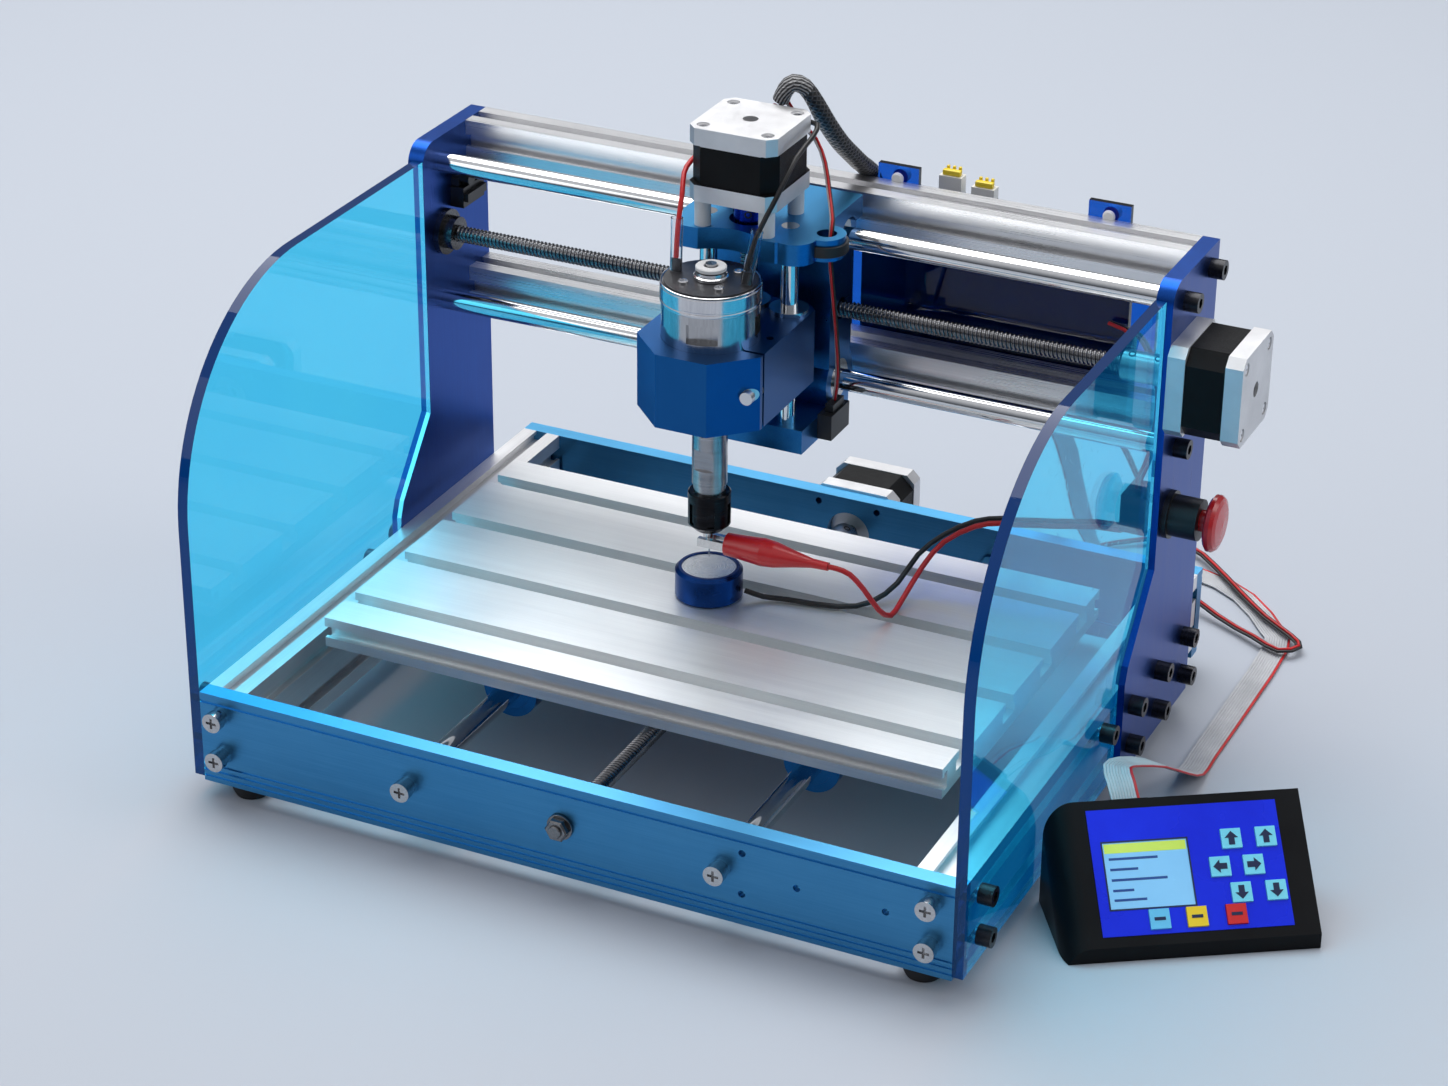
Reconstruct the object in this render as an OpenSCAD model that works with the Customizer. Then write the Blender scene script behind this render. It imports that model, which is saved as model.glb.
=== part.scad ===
// Desktop three-axis router with a T-slot bed, blue aluminium plates, tinted side baffles and a pendant.
// X runs along the gantry, Y along the bed's travel and Z up. The machine stands on z = 0.
// The origin is the middle of the frame's footprint.

/* [Frame] */
// Length of the front and rear rails, and the gap between the gantry plates
rail_w = 360; // [340:1:440]
// Depth from the front rail's face to the rear rail's face
frame_d = 310; // [300:1:380]
// Height of a rail's section
rail_h = 45; // [44:1:54]
// Thickness of a rail's section
rail_t = 8; // [7:1:10]
// Width of one module of T-slot profile
module_w = 20; // [20:1:22]
// Mouth of a profile's T-slot
slot_w = 6; // [5.5:0.5:7]
// Height of a rubber foot
foot_h = 8; // [5:1:14]
// Thickness of a gantry plate
plate_t = 8; // [6:1:10]
// Height of the gantry plates' top edge
gantry_h = 237; // [230:1:285]
// Distance from the rear face to the X rods' plane
gantry_setback = 83; // [70:1:100]
// Thickness of a side baffle
baffle_t = 5; // [3:1:6]
// Radius of the side baffles' big front corner
baffle_r = 98; // [60:1:110]

/* [Guides and screws] */
// Diameter of the X and Y guide rods
rod_d = 10; // [8:1:12]
// Diameter of the Z guide rods
z_rod_d = 8; // [6:1:8]
// Diameter of the lead screws
screw_d = 8; // [6:1:8]
// Running clearance of a shaft in its bore, each side
run_gap = 0.05; // [0.02:0.01:0.1]
// Outside diameter of a linear bushing on the X and Y rods
bush_d = 19; // [17:1:20]
// Outside diameter of a linear bushing on the Z rods
z_bush_d = 15; // [13:1:15]
// Height of the X lead screw
x_screw_z = 189; // [186:1:196]
// Distance of an X rod above or below the X lead screw
x_rod_rise = 35; // [30:1:38]
// Distance of a Y rod from the middle
y_rod_x = 75; // [60:1:95]

/* [Motors] */
// Side of a stepper motor
motor_w = 42.3; // [39:0.1:44]
// Length of a stepper motor
motor_l = 34; // [28:1:48]
// Spacing of a stepper motor's screws
motor_hole_pitch = 31; // [29:1:33]
// Diameter of a motor shaft
shaft_d = 5; // [4:1:6]
// Diameter of a shaft coupler
coupler_d = 14; // [12:1:16]
// Length of a shaft coupler
coupler_l = 21; // [18:1:22]
// Height of the Z motor's standoffs
standoff_h = 12.5; // [10:0.5:16]

/* [Bed] */
// Length of the bed along X
bed_w = 300; // [240:1:316]
// Depth of the bed along Y
bed_d = 180; // [150:1:200]
// Thickness of the bed
bed_t = 14.5; // [12:0.5:18]
// Gap between the rails' top edge and the bed
bed_gap = 2; // [1:0.5:4]
// Spacing of the bed's T-slots
bed_pitch = 45; // [36:1:50]
// Mouth of a bed T-slot
bed_slot_w = 8.5; // [7:0.5:10]
// Pocket width of a bed T-slot
bed_pocket_w = 14; // [12:0.5:16]
// Where the bed's middle rests
bed_y = -7; // [-20:1:20]

/* [Carriage and spindle] */
// Where the carriage's middle rests
carriage_x = -5; // [-40:1:40]
// Length of the carriage along X
carriage_w = 62; // [56:1:70]
// Distance from the X rods' plane to the Z lead screw
z_setoff = 33; // [32:1:36]
// Distance from the Z lead screw to the spindle's axis
spindle_setoff = 39; // [38:1:44]
// Distance of a Z rod from the Z lead screw
z_rod_x = 20; // [18:1:22]
// Thickness of the carriage's top and bottom plates
deck_t = 10; // [8:0.5:11.5]
// Diameter of the spindle motor's can
can_d = 44; // [36:1:45]
// Length of the spindle motor's can
can_l = 63; // [50:1:66]
// Height of the spindle clamp
clamp_h = 35; // [30:1:42]
// Where the spindle clamp's underside rests
clamp_z = 163.5; // [160:0.5:168]
// Distance across the clamp's flats
clamp_af = 60; // [56:1:64]
// Diameter of the collet shaft
collet_d = 16; // [12:1:16]
// Diameter of the collet nut
nut_d = 19.5; // [18:0.5:22]
// Length of the collet nut
nut_l = 19; // [14:1:20]
// Diameter of the cutting bit's shank
bit_d = 3.2; // [2:0.1:4]
// Where the bit's tip rests
bit_z = 88.5; // [87.5:0.5:92]
// Diameter of the height probe
probe_d = 31; // [28:1:40]
// Height of the height probe
probe_h = 14.5; // [10:0.5:15]

/* [Controls] */
// Diameter of the stop button's head
stop_d = 26; // [22:1:30]
// Height of the stop button's axis
stop_z = 123; // [118:1:128]
// Width of the pendant
pendant_w = 110; // [100:1:125]
// Depth of the pendant's sloping face
pendant_d = 64.5; // [60:0.5:74]
// Slope of the pendant's face in degrees
pendant_slope = 40; // [20:1:45]
// Height of the pendant's front edge
pendant_h = 7; // [6:0.5:12]
// Thickness of the pendant's walls
pendant_wall = 2.2; // [1.5:0.1:3]
// Side of a pendant key
key_w = 8.6; // [6:0.1:9]
// Height of a key above the pendant's face
key_rise = 1.1; // [0.8:0.1:2]

/* [Hidden] */
$fn = 48;

// frame
half_w = rail_w / 2;
y_front = -frame_d / 2;
y_rear = frame_d / 2;
rail_top = foot_h + rail_h;
profile_h = 2 * module_w;
mid_z = rail_top - module_w;
rail_grip = 2;
seam = 0.05;
rail_holes_x = half_w - module_w / 2;
accessory_holes = [[85, mid_z + 10], [85, mid_z - 10], [110, mid_z], [150, mid_z]];
accessory_r = 1.65;
foot_x = half_w - 17;
foot_y = y_rear - 12;

// gantry
gantry_y = y_rear - gantry_setback;
plate_rear = gantry_y + 43;
plate_front = gantry_y - 18;
plate_toe = gantry_y - 49;
knee_top = 101;
knee_low = 66;
plate_round = 10;
beam_y = plate_rear - module_w / 2;
beam_z = gantry_h - module_w / 2;
low_beam_z = x_screw_z - x_rod_rise - 2;
x_rod_zs = [x_screw_z + x_rod_rise, x_screw_z - x_rod_rise];
plate_screw_ys = [plate_toe + 11, (plate_toe + plate_rear) / 2, plate_rear - 10];
plate_screw_zs = [mid_z - 10, mid_z + 10];
pilot_r = 11;
pilot_h = 2;
stop_y = gantry_y - 4;
stop_barrel_r = 8;

// fasteners
screw_r = 2.5;
screw_hole_r = 2.6;
cap_head_r = 4.5;
cap_head_h = 6.5;
pan_head_r = 4.6;
pan_head_h = 4.2;
washer_h = 3;
nut_plate = 8.6;

// baffles
baffle_top = 230;
baffle_low = foot_h + 2;
baffle_gap = 0.4;
baffle_screws = [[y_front + 16, 0], [plate_toe - 18, 1]];

// bed
bed_z = rail_top + bed_gap;
bed_top = bed_z + bed_t;
bed_lip = 4;
bed_pocket_h = 5;
block_dy = 40;
block_l = 30;
block_w = 34;
bed_slots = [for (i = [0:3]) (i - 1.5) * bed_pitch];

// carriage
z_axis_y = gantry_y - z_setoff;
spindle_y = z_axis_y - spindle_setoff;
rod_r = rod_d / 2;
bush_r = bush_d / 2;
house_r = bush_r + 5.5;
top_deck_z = x_rod_zs[0] + rod_r + 0.4;
top_deck_top = top_deck_z + deck_t;
low_deck_top = x_rod_zs[1] - 9.5;
low_deck_z = low_deck_top - deck_t - 1.5;
web_front = gantry_y - 12;
web_rear = gantry_y + 12;
lobe_x = 37;
lobe_y = z_axis_y - 1;
motor_z = top_deck_top + standoff_h;
z_nut_r = 5.1;

// spindle
can_r = can_d / 2;
can_z = clamp_z - 2;
can_top = can_z + can_l;
clamp_top = clamp_z + clamp_h;
clamp_half = clamp_af / 2;
clamp_rear = z_axis_y - spindle_y + 11;
nut_z = bit_z + 15;
nut_top = nut_z + nut_l;
bit_r = bit_d / 2;
clip_z = bit_z + 8.5;
clip_gap = 0.3;
jaw_t = 2.4;
boot_x = 9;
terminal_x = 17;
boot_l = 50;

// pendant
pendant_x = 213.5;
pendant_y = -112.7;
pendant_turn = 33;
pendant_deep = pendant_d * cos(pendant_slope);
pendant_back = pendant_h + pendant_d * sin(pendant_slope);
panel_t = 1.6;
key_gap = 0.25;
key_skirt = 0.9;
flange_t = 1;

grip_r = 12;
panel_x = 17;
panel_y = 4.7;
panel_w = 82;
panel_d = 55.5;
keys = [[77.5, 44], [92.5, 44], [71, 32], [85.5, 32], [78.5, 20.3], [93.5, 20.3], [42, 11], [58, 11],
  [75, 11]];

// stop button
stop_r = stop_d / 2;
stop_out = 15.5;
stop_stem_r = 5;
stop_travel = 3.5;

// controller
cover_x0 = 12;
cover_x1 = 148;
cover_y = plate_rear + 1;
cover_z0 = low_beam_z - 4;
cover_z1 = gantry_h - 5;
cover_rear_z1 = cover_z1 - 15;
cover_t = 3;
cover_gap = 26;
ear_w = 20;
ear_h = 12;

// cords, through points picked by eye
xc = carriage_x;
ribbon_path = [[215, -46, 41], [209, -38, 47], [203, -26, 47], [204, -12, 42], [209, 8, 32],
  [212, 32, 16], [212, 55, 3], [211, 75, 1], [211, 130, 1], [210, 187, 1], [203, 203, 1], [180, 230, 1],
  [150, 244, 1], [115, 238, 1], [100, 225, 10], [95, 208, 45], [91, 196, 80], [90, 165, 118],
  [90, 139, 134], [90, 131, 145]];
motor_path = [[21.5, 165, 36], [30, 168, 34], [42, 178, 18], [62, 205, 4], [86, 240, 2],
  [112, 264, 3], [138, 266, 3.6], [158, 250, 3.8], [178, 229, 3.8], [197, 210, 3.8],
  [214, 197, 3.8], [221, 188, 3.8], [213, 180, 3.8], [198, 188, 3.8], [176, 200, 4],
  [148, 212, 14], [132, 208, 50], [124, 192, 84], [121, 160, 120], [120, 131, 145]];
clip_path = [[54.3, 0, 97], [58, 0, 97], [64, 1, 95], [70, 3, 88], [76, 7, 77], [79, 14, 71.5],
  [79, 26, 73], [81, 45, 82], [86, 58, 90], [98, 66, 97], [110, 69, 100], [130, 75, 101],
  [148, 79, 103], [160, 77, 105], [167.5, 72, 112.6]];
probe_path = [[11.8, 2.5, 74], [20, 5, 71.5], [30, 8, 71], [54, 12, 71], [66, 22, 71.5], [72, 38, 75],
  [76, 52, 84], [84, 63, 91], [96, 71, 97], [109, 74, 100], [129, 80, 101], [147, 84, 103],
  [161, 82, 105], [172, 73, 112.6]];
red_path = [[xc - 17, 0, 232], [xc - 17, 2, 247], [xc - 18.5, 9, 258], [xc - 22, 18, 264],
  [xc - 23.5, 28, 266], [xc - 23.5, 45, 268], [xc - 22.5, 60.5, 270], [xc - 15, 64, 271],
  [xc - 7, 63.5, 273], [xc - 1.5, 63, 279], [xc + 1, 63, 284.6]];
black_path = [[xc + 17, 0, 232], [xc + 19, 5, 246], [xc + 24, 15, 262], [xc + 26, 30, 275],
  [xc + 25, 50, 278], [xc + 22.5, 60, 280], [xc + 14, 63, 279], [xc + 7, 64.5, 277],
  [xc + 3, 66, 279], [xc + 2, 66.5, 284.8]];
switch_path = [[xc + 3, 70, 284.8], [xc + 9, 70, 277], [xc + 18, 69.5, 269], [xc + 25, 64, 261],
  [xc + 32, 54, 250], [xc + 38.5, 42.5, 244], [xc + 39.5, 38.5, 236], [xc + 40, 38, 225],
  [xc + 41, 44, 190], [xc + 38, 54, 165], [xc + 35, 58, 150.4]];
sleeve_path = [[xc + 2, 66.5, 286], [xc + 4, 67, 291], [2, 68.5, 294], [6.5, 71, 292],
  [10.5, 74.5, 284], [13, 80, 274], [15.5, 90, 261.5], [17, 100, 252.5], [18, 109, 245],
  [18, 118, 239], [17.5, 125, 231.6]];
stop_path = [[170, 68, 132.3], [170, 69, 137], [170, 82, 144], [170, 89, 165], [164, 96, 180],
  [152, 110, 186], [140, 113.6, 188]];

// ---------- shared shapes ----------

// Puts a drawing of Y and Z upright and draws it out along X, starting at x
module along_x(x, length) {
  translate([x, 0, 0]) rotate([90, 0, 90]) linear_extrude(length) children();
}

// Puts a drawing of X and Z upright and draws it out along Y, starting at y
module along_y(y, length) {
  translate([0, y + length, 0]) rotate([90, 0, 0]) linear_extrude(length) children();
}

// A round bar along X from x to x + length
module bar_x(x, y, z, r, length) {
  translate([x, y, z]) rotate([0, 90, 0]) cylinder(r = r, h = length);
}

// A round bar along Y from y to y + length
module bar_y(x, y, z, r, length) {
  translate([x, y + length, z]) rotate([90, 0, 0]) cylinder(r = r, h = length);
}

// A round bar along Z
module bar_z(x, y, z, r, length) {
  translate([x, y, z]) cylinder(r = r, h = length);
}

module mirrored_x() {
  children();
  mirror([1, 0, 0]) children();
}

module ring(outer, inner, length) {
  difference() {
    cylinder(r = outer, h = length);
    translate([0, 0, -1]) cylinder(r = inner, h = length + 2);
  }
}

// A square with its corners cut off
module clipped_square(w, cut) {
  polygon([
    [-w / 2 + cut, -w / 2], [w / 2 - cut, -w / 2], [w / 2, -w / 2 + cut], [w / 2, w / 2 - cut],
    [w / 2 - cut, w / 2], [-w / 2 + cut, w / 2], [-w / 2, w / 2 - cut], [-w / 2, -w / 2 + cut]
  ]);
}

// A T-slot cut into an edge that lies on the X axis, opening towards +Y
module slot_cut(mouth, lip, pocket, depth) {
  translate([-mouth / 2, -lip - 0.01]) square([mouth, lip + 1]);
  translate([-pocket / 2, -lip - depth]) square([pocket, depth]);
}

// The section of a T-slot profile, n modules high
module profile_section(n) {
  half = module_w / 2;
  lip = 1.8;
  depth = half - lip - 5;
  difference() {
    square([module_w, n * module_w], center = true);
    for (i = [0:n - 1]) translate([0, (i - (n - 1) / 2) * module_w]) {
      translate([half, 0]) rotate(-90) slot_cut(slot_w, lip, 9, depth);
      translate([-half, 0]) rotate(90) slot_cut(slot_w, lip, 9, depth);
      circle(r = screw_hole_r);
    }
    translate([0, n * half]) slot_cut(slot_w, lip, 9, depth);
    translate([0, -n * half]) rotate(180) slot_cut(slot_w, lip, 9, depth);
  }
}

// A pan-head screw on a washer, its head towards -Y, with its seat at y = 0
module pan_screw(length) {
  bar_y(0, 0, 0, screw_r, length);
  bar_y(0, -washer_h, 0, pan_head_r - 0.5, washer_h);
  difference() {
    bar_y(0, -washer_h - pan_head_h, 0, pan_head_r, pan_head_h);
    translate([-2.6, -washer_h - pan_head_h - 1, -0.6]) cube([5.2, 3, 1.2]);
    translate([-0.6, -washer_h - pan_head_h - 1, -2.6]) cube([1.2, 3, 5.2]);
  }
}

// A socket-head cap screw along +X with its seat at x = 0 and its head at +X
module cap_screw(length) {
  bar_x(-length, 0, 0, screw_r, length);
  difference() {
    bar_x(0, 0, 0, cap_head_r, cap_head_h);
    translate([cap_head_h - 3.5, 0, 0]) rotate([0, 90, 0]) cylinder(r = 2.4, h = 4, $fn = 6);
  }
}

// The nut plate that a cap screw pulls against inside a profile's slot
module nut_plate_at(x) {
  difference() {
    translate([x, -nut_plate / 2, -nut_plate / 2]) cube([2.6, nut_plate, nut_plate]);
    bar_x(x - 1, 0, 0, screw_r + seam, 5);
  }
}

// A stepper motor whose mounting face is z = 0 and whose body runs to -motor_l
module stepper() {
  cap_t = 8;
  core = motor_l - 2 * cap_t - 2 * seam;
  difference() {
    union() {
      translate([0, 0, -cap_t]) linear_extrude(cap_t) clipped_square(motor_w, 4);
      cylinder(r = pilot_r, h = pilot_h);
    }
    translate([0, 0, -cap_t - 1]) cylinder(r = shaft_d / 2 + run_gap, h = cap_t + pilot_h + 2);
    for (sx = [-1, 1], sy = [-1, 1])
      translate([sx, sy, 0] * motor_hole_pitch / 2) translate([0, 0, -5]) cylinder(r = 1.3, h = 6);
  }
  translate([0, 0, -cap_t - seam - core]) difference() {
    linear_extrude(core) clipped_square(motor_w - 0.6, 6.5);
    translate([0, 0, -1]) cylinder(r = shaft_d / 2 + run_gap, h = core + 2);
  }
  translate([0, 0, -motor_l]) difference() {
    linear_extrude(cap_t) clipped_square(motor_w, 4);
    translate([0, 0, -1]) cylinder(r = shaft_d / 2 + 1, h = cap_t + 2);
    for (sx = [-1, 1], sy = [-1, 1])
      translate([sx * motor_hole_pitch / 2, sy * motor_hole_pitch / 2, -1]) cylinder(r = 2.9, h = 2.2);
  }
}

// A lead screw, its coupler and the motor's shaft along +Z. The coupler's middle is z = 0
module drive_line(screw_l, shaft_l) {
  translate([0, 0, -screw_l - 1]) cylinder(r = screw_d / 2, h = screw_l);
  difference() {
    translate([0, 0, -coupler_l / 2]) cylinder(r = coupler_d / 2, h = coupler_l);
    translate([0, 0, -coupler_l]) cylinder(r = screw_d / 2 + run_gap, h = coupler_l);
    cylinder(r = shaft_d / 2 + run_gap, h = coupler_l);
  }
  translate([0, 0, 1]) cylinder(r = shaft_d / 2, h = shaft_l);
}

// The way a path runs at its point i, and a level direction across it
function unit(v) = v / norm(v);
function heading(p, i) = unit(p[min(i + 1, len(p) - 1)] - p[max(i - 1, 0)]);
function sideways(t, up) = unit(cross(t, abs(t * up) > 0.96 ? [up[1], up[2], up[0]] : up));
function sides_from(p, i, last) = i == len(p) ? [] :
  let (s = sideways(heading(p, i), [0, 0, 1]), kept = s * last < 0 ? -s : s)
  concat([kept], sides_from(p, i + 1, kept));

// A tube of w by h swept along points with a level width, as one closed skin
module swept(points, w, h, sides = 8) {
  n = len(points);
  across = sides_from(points, 0, [0, 0, 0]);
  rings = [for (i = [0:n - 1])
    let (t = heading(points, i), s = across[i], u = cross(s, t))
    for (k = [0:sides - 1])
      points[i] + s * cos(k * 360 / sides) * w / 2 + u * sin(k * 360 / sides) * h / 2];
  walls = [for (i = [0:n - 2]) for (k = [0:sides - 1])
    let (a = i * sides + k, b = i * sides + (k + 1) % sides)
    each [[a, b, b + sides], [a, b + sides, a + sides]]];
  low = [[for (k = [0:sides - 1]) sides - 1 - k]];
  high = [[for (k = [0:sides - 1]) (n - 1) * sides + k]];
  polyhedron(rings, concat(low, walls, high));
}

// ---------- frame ----------

// The section of a rail: depth from its outer face, height from its lower edge
module rail_section() {
  difference() {
    square([rail_t, rail_h]);
    translate([-1, rail_h - 5]) square([1.8, 1.6]);
    for (z = [2.4, 5.4, 8.4]) translate([-1, z]) square([1.7, 1.2]);
    translate([rail_t - 1.6, 8]) square([3, rail_h - 16]);
  }
}

module rail_holes() {
  for (sx = [-1, 1]) {
    for (dz = [-10, 10]) bar_y(sx * rail_holes_x, -1, mid_z + dz, screw_hole_r, rail_t + 2);
    bar_y(sx * y_rod_x, -1, mid_z, screw_hole_r, rail_t + 2);
  }
}

module front_rail() {
  color("royalblue") difference() {
    translate([0, y_front, foot_h]) along_x(-half_w, rail_w) rail_section();
    translate([0, y_front, 0]) {
      rail_holes();
      bar_y(0, -1, mid_z, 3 + run_gap, rail_t + 2);
      for (p = accessory_holes) bar_y(p[0], -1, p[1], accessory_r, rail_t + 2);
    }
  }
}

module rear_rail() {
  color("royalblue") difference() {
    translate([0, y_rear, foot_h]) mirror([0, 1, 0]) along_x(-half_w, rail_w) rail_section();
    translate([0, y_rear - rail_t, 0]) {
      rail_holes();
      bar_y(0, -1, mid_z, pilot_r + 0.2, rail_t + 2);
      for (sx = [-1, 1], sz = [-1, 1])
        bar_y(sx * motor_hole_pitch / 2, -1, mid_z + sz * motor_hole_pitch / 2, 1.7, rail_t + 2);
    }
  }
}

module side_profiles() {
  color("silver") for (sx = [-1, 1])
    translate([sx * rail_holes_x, 0, mid_z])
      along_y(y_front + rail_t, frame_d - 2 * rail_t) profile_section(2);
}

// The outline of a gantry plate in Y and Z
module plate_outline() {
  union() {
    polygon([
      [plate_rear, foot_h + 2], [plate_rear, gantry_h], [plate_front + plate_round, gantry_h],
      [plate_front + plate_round, gantry_h - plate_round], [plate_front, gantry_h - plate_round],
      [plate_front, knee_top], [plate_toe + 3, knee_low], [plate_toe, knee_low - 8],
      [plate_toe, foot_h + 2 + plate_round], [plate_toe + plate_round, foot_h + 2 + plate_round],
      [plate_toe + plate_round, foot_h + 2]
    ]);
    translate([plate_front + plate_round, gantry_h - plate_round]) circle(r = plate_round);
    translate([plate_toe + plate_round, foot_h + 2 + plate_round]) circle(r = plate_round);
  }
}

module plate_screw_spots() {
  for (y = plate_screw_ys, z = plate_screw_zs) translate([0, y, z]) children();
  for (z = x_rod_zs) translate([0, gantry_y, z]) children();
  translate([0, beam_y, beam_z]) children();
  translate([0, beam_y, low_beam_z]) children();
}

module plate_screw_holes() {
  plate_screw_spots() bar_x(half_w - 1, 0, 0, screw_hole_r, plate_t + 2);
}

module left_plate() {
  color("royalblue") mirror([1, 0, 0]) difference() {
    along_x(half_w, plate_t) plate_outline();
    plate_screw_holes();
  }
}

module right_plate() {
  color("royalblue") difference() {
    along_x(half_w, plate_t) plate_outline();
    plate_screw_holes();
    bar_x(half_w - 1, gantry_y, x_screw_z, pilot_r + 0.2, plate_t + 2);
    for (sy = [-1, 1], sz = [-1, 1])
      bar_x(half_w - 1, gantry_y + sy * motor_hole_pitch / 2,
        x_screw_z + sz * motor_hole_pitch / 2, 1.7, plate_t + 2);
    bar_x(half_w - 1, stop_y, stop_z, stop_barrel_r + 0.1, plate_t + 2);
  }
}

// The outline of a side baffle in Y and Z, with its rear edge along the gantry plate
module baffle_outline() {
  union() {
    polygon([
      [y_front, baffle_top - baffle_r], [y_front, baffle_low], [plate_toe - baffle_gap, baffle_low],
      [plate_toe - baffle_gap, knee_low - 8], [plate_toe + 3 - baffle_gap, knee_low],
      [plate_front - baffle_gap, knee_top], [plate_front - baffle_gap, baffle_top],
      [y_front + baffle_r, baffle_top], [y_front + baffle_r, baffle_top - baffle_r]
    ]);
    translate([y_front + baffle_r, baffle_top - baffle_r]) circle(r = baffle_r);
  }
}

module baffle_screw_spots() {
  for (s = baffle_screws) {
    translate([0, s[0], mid_z + 10]) children();
    if (s[1] == 0) translate([0, s[0], mid_z - 10]) children();
  }
}

module side_baffles() {
  color("deepskyblue", 0.45) mirrored_x() difference() {
    along_x(half_w, baffle_t) baffle_outline();
    baffle_screw_spots() bar_x(half_w - 1, 0, 0, screw_hole_r, baffle_t + 2);
  }
}

module gantry_beams() {
  color("silver") for (z = [beam_z, low_beam_z])
    translate([0, beam_y, z]) along_x(-half_w, rail_w) profile_section(1);
}

module x_rods() {
  color("lightgray") for (z = x_rod_zs) difference() {
    bar_x(-half_w, gantry_y, z, rod_r, rail_w);
    for (x = [-half_w - 1, half_w - 15]) bar_x(x, gantry_y, z, screw_hole_r, 16);
  }
}

module y_rods() {
  y0 = y_front + rail_t;
  length = frame_d - 2 * rail_t;
  color("lightgray") for (sx = [-1, 1]) difference() {
    bar_y(sx * y_rod_x, y0, mid_z, rod_r, length);
    for (y = [y0 - 1, -y0 - 15]) bar_y(sx * y_rod_x, y, mid_z, screw_hole_r, 16);
  }
}

module feet() {
  color("black") for (sx = [-1, 1], sy = [-1, 1])
    translate([sx * foot_x, sy * foot_y, 0])
      rotate_extrude() polygon([[0, 0], [7.5, 0], [8.5, 2], [10.5, foot_h], [0, foot_h]]);
}

module rail_screw_row() {
  length = rail_t + 12;
  for (sx = [-1, 1]) {
    for (dz = [-10, 10]) translate([sx * rail_holes_x, 0, mid_z + dz]) pan_screw(length);
    translate([sx * y_rod_x, 0, mid_z]) pan_screw(length);
  }
}

module rail_screws() {
  color("silver") {
    translate([0, y_front, 0]) rail_screw_row();
    translate([0, y_rear, 0]) mirror([0, 1, 0]) rail_screw_row();
  }
}

module cap_screws() {
  into = 5;
  color("dimgray") mirrored_x() {
    for (y = plate_screw_ys, z = plate_screw_zs) translate([half_w, y, z]) {
      translate([plate_t, 0, 0]) cap_screw(plate_t + into - 0.2);
      nut_plate_at(-1.8 - 2.8);
    }
    for (z = x_rod_zs) translate([half_w + plate_t, gantry_y, z]) cap_screw(plate_t + 12);
    for (z = [beam_z, low_beam_z]) translate([half_w + plate_t, beam_y, z]) cap_screw(plate_t + 12);
    baffle_screw_spots() translate([half_w, 0, 0]) {
      translate([baffle_t, 0, 0]) cap_screw(baffle_t + into - 0.2);
      nut_plate_at(-1.8 - 2.8);
    }
  }
}

// The flanged bearing that carries the X lead screw's free end
module end_bearing() {
  color("dimgray") translate([-half_w, gantry_y, x_screw_z]) rotate([0, 90, 0]) difference() {
    union() {
      cylinder(r = 11, h = 3);
      cylinder(r = 8, h = 8);
    }
    translate([0, 0, -1]) cylinder(r = screw_d / 2 + run_gap, h = 10);
  }
}

module x_motor() {
  color("silver") translate([half_w + plate_t + motor_l, gantry_y, x_screw_z])
    rotate([0, -90, 0]) translate([0, 0, motor_l]) stepper();
}

module y_motor() {
  color("silver") translate([0, y_rear + motor_l, mid_z])
    rotate([90, 0, 0]) translate([0, 0, motor_l]) stepper();
}

// ---------- controller and switches ----------

// A sheet of the cover, as far up as top
module cover_sheet(top) {
  translate([cover_x0, cover_z0]) square([cover_x1 - cover_x0, top - cover_z0]);
}

module cover_ears() {
  for (x = [cover_x0 + 12, cover_x1 - ear_w - 2])
    translate([x, cover_z1 - 1]) square([ear_w, ear_h + 1]);
}

module cover_post_spots() {
  for (x = [cover_x0 + 7, cover_x1 - 7], z = [cover_z0 + 7, cover_rear_z1 - 7])
    translate([x, 0, z]) children();
}

module controller_cover() {
  color("navy", 0.7) {
    along_y(cover_y, cover_t) {
      cover_sheet(cover_z1);
      cover_ears();
    }
    along_y(cover_y + cover_gap + cover_t, cover_t) cover_sheet(cover_rear_z1);
    cover_post_spots() {
      bar_y(0, cover_y + cover_t, 0, 3, 5 - seam);
      bar_y(0, cover_y + cover_t + 6.6 + seam, 0, 3, cover_gap - 6.6 - seam);
    }
  }
}

module controller_board() {
  y0 = cover_y + cover_t + 5;
  color("darkgreen") {
    translate([cover_x0 + 2, y0, cover_z0 + 2])
      cube([cover_x1 - cover_x0 - 4, 1.6, cover_z1 - cover_z0 - 4]);
    for (i = [0:2]) {
      translate([44 + i * 18, y0 + 1.6, cover_z0 + 40]) cube([14, 9, 14]);
      if (i < 2) translate([50 + i * 16, y0 + 1.6, cover_z1 - 6]) cube([11, 6, 13 - 3 * i]);
    }
    translate([cover_x1 - 34, y0 + 1.6, cover_z0 + 16]) cube([20, 12, 30]);
    translate([cover_x0 + 13, y0 + 1.6, cover_z0 + 14]) cube([16, 16, 22]);
  }
}

module x_limit_switch() {
  color("black") translate([-half_w, gantry_y + 7, x_screw_z + 10]) {
    cube([7, 20, 10]);
    translate([7, 1, 3]) cube([2, 18, 4]);
    for (y = [5, 15]) bar_x(0, y, 14, 3.4, 9);
    translate([0, 1, 9]) cube([4, 18, 5]);
  }
}

module stop_body() {
  x0 = half_w + plate_t;
  barrel_l = stop_out + plate_t + 6;
  color("black") translate([0, stop_y, stop_z]) difference() {
    union() {
      bar_x(x0, 0, 0, stop_r - 2, 2.5);
      bar_x(x0, 0, 0, stop_r - 3.5, stop_out);
      bar_x(half_w - 2, 0, 0, stop_barrel_r, plate_t + 3);
      bar_x(half_w - 3, 0, 0, stop_barrel_r + 3, 3);
      translate([half_w - 15, -9, -9]) cube([12.5, 18, 18]);
    }
    bar_x(x0 + stop_out - barrel_l, 0, 0, stop_stem_r + run_gap, barrel_l + 1);
  }
}

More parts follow.
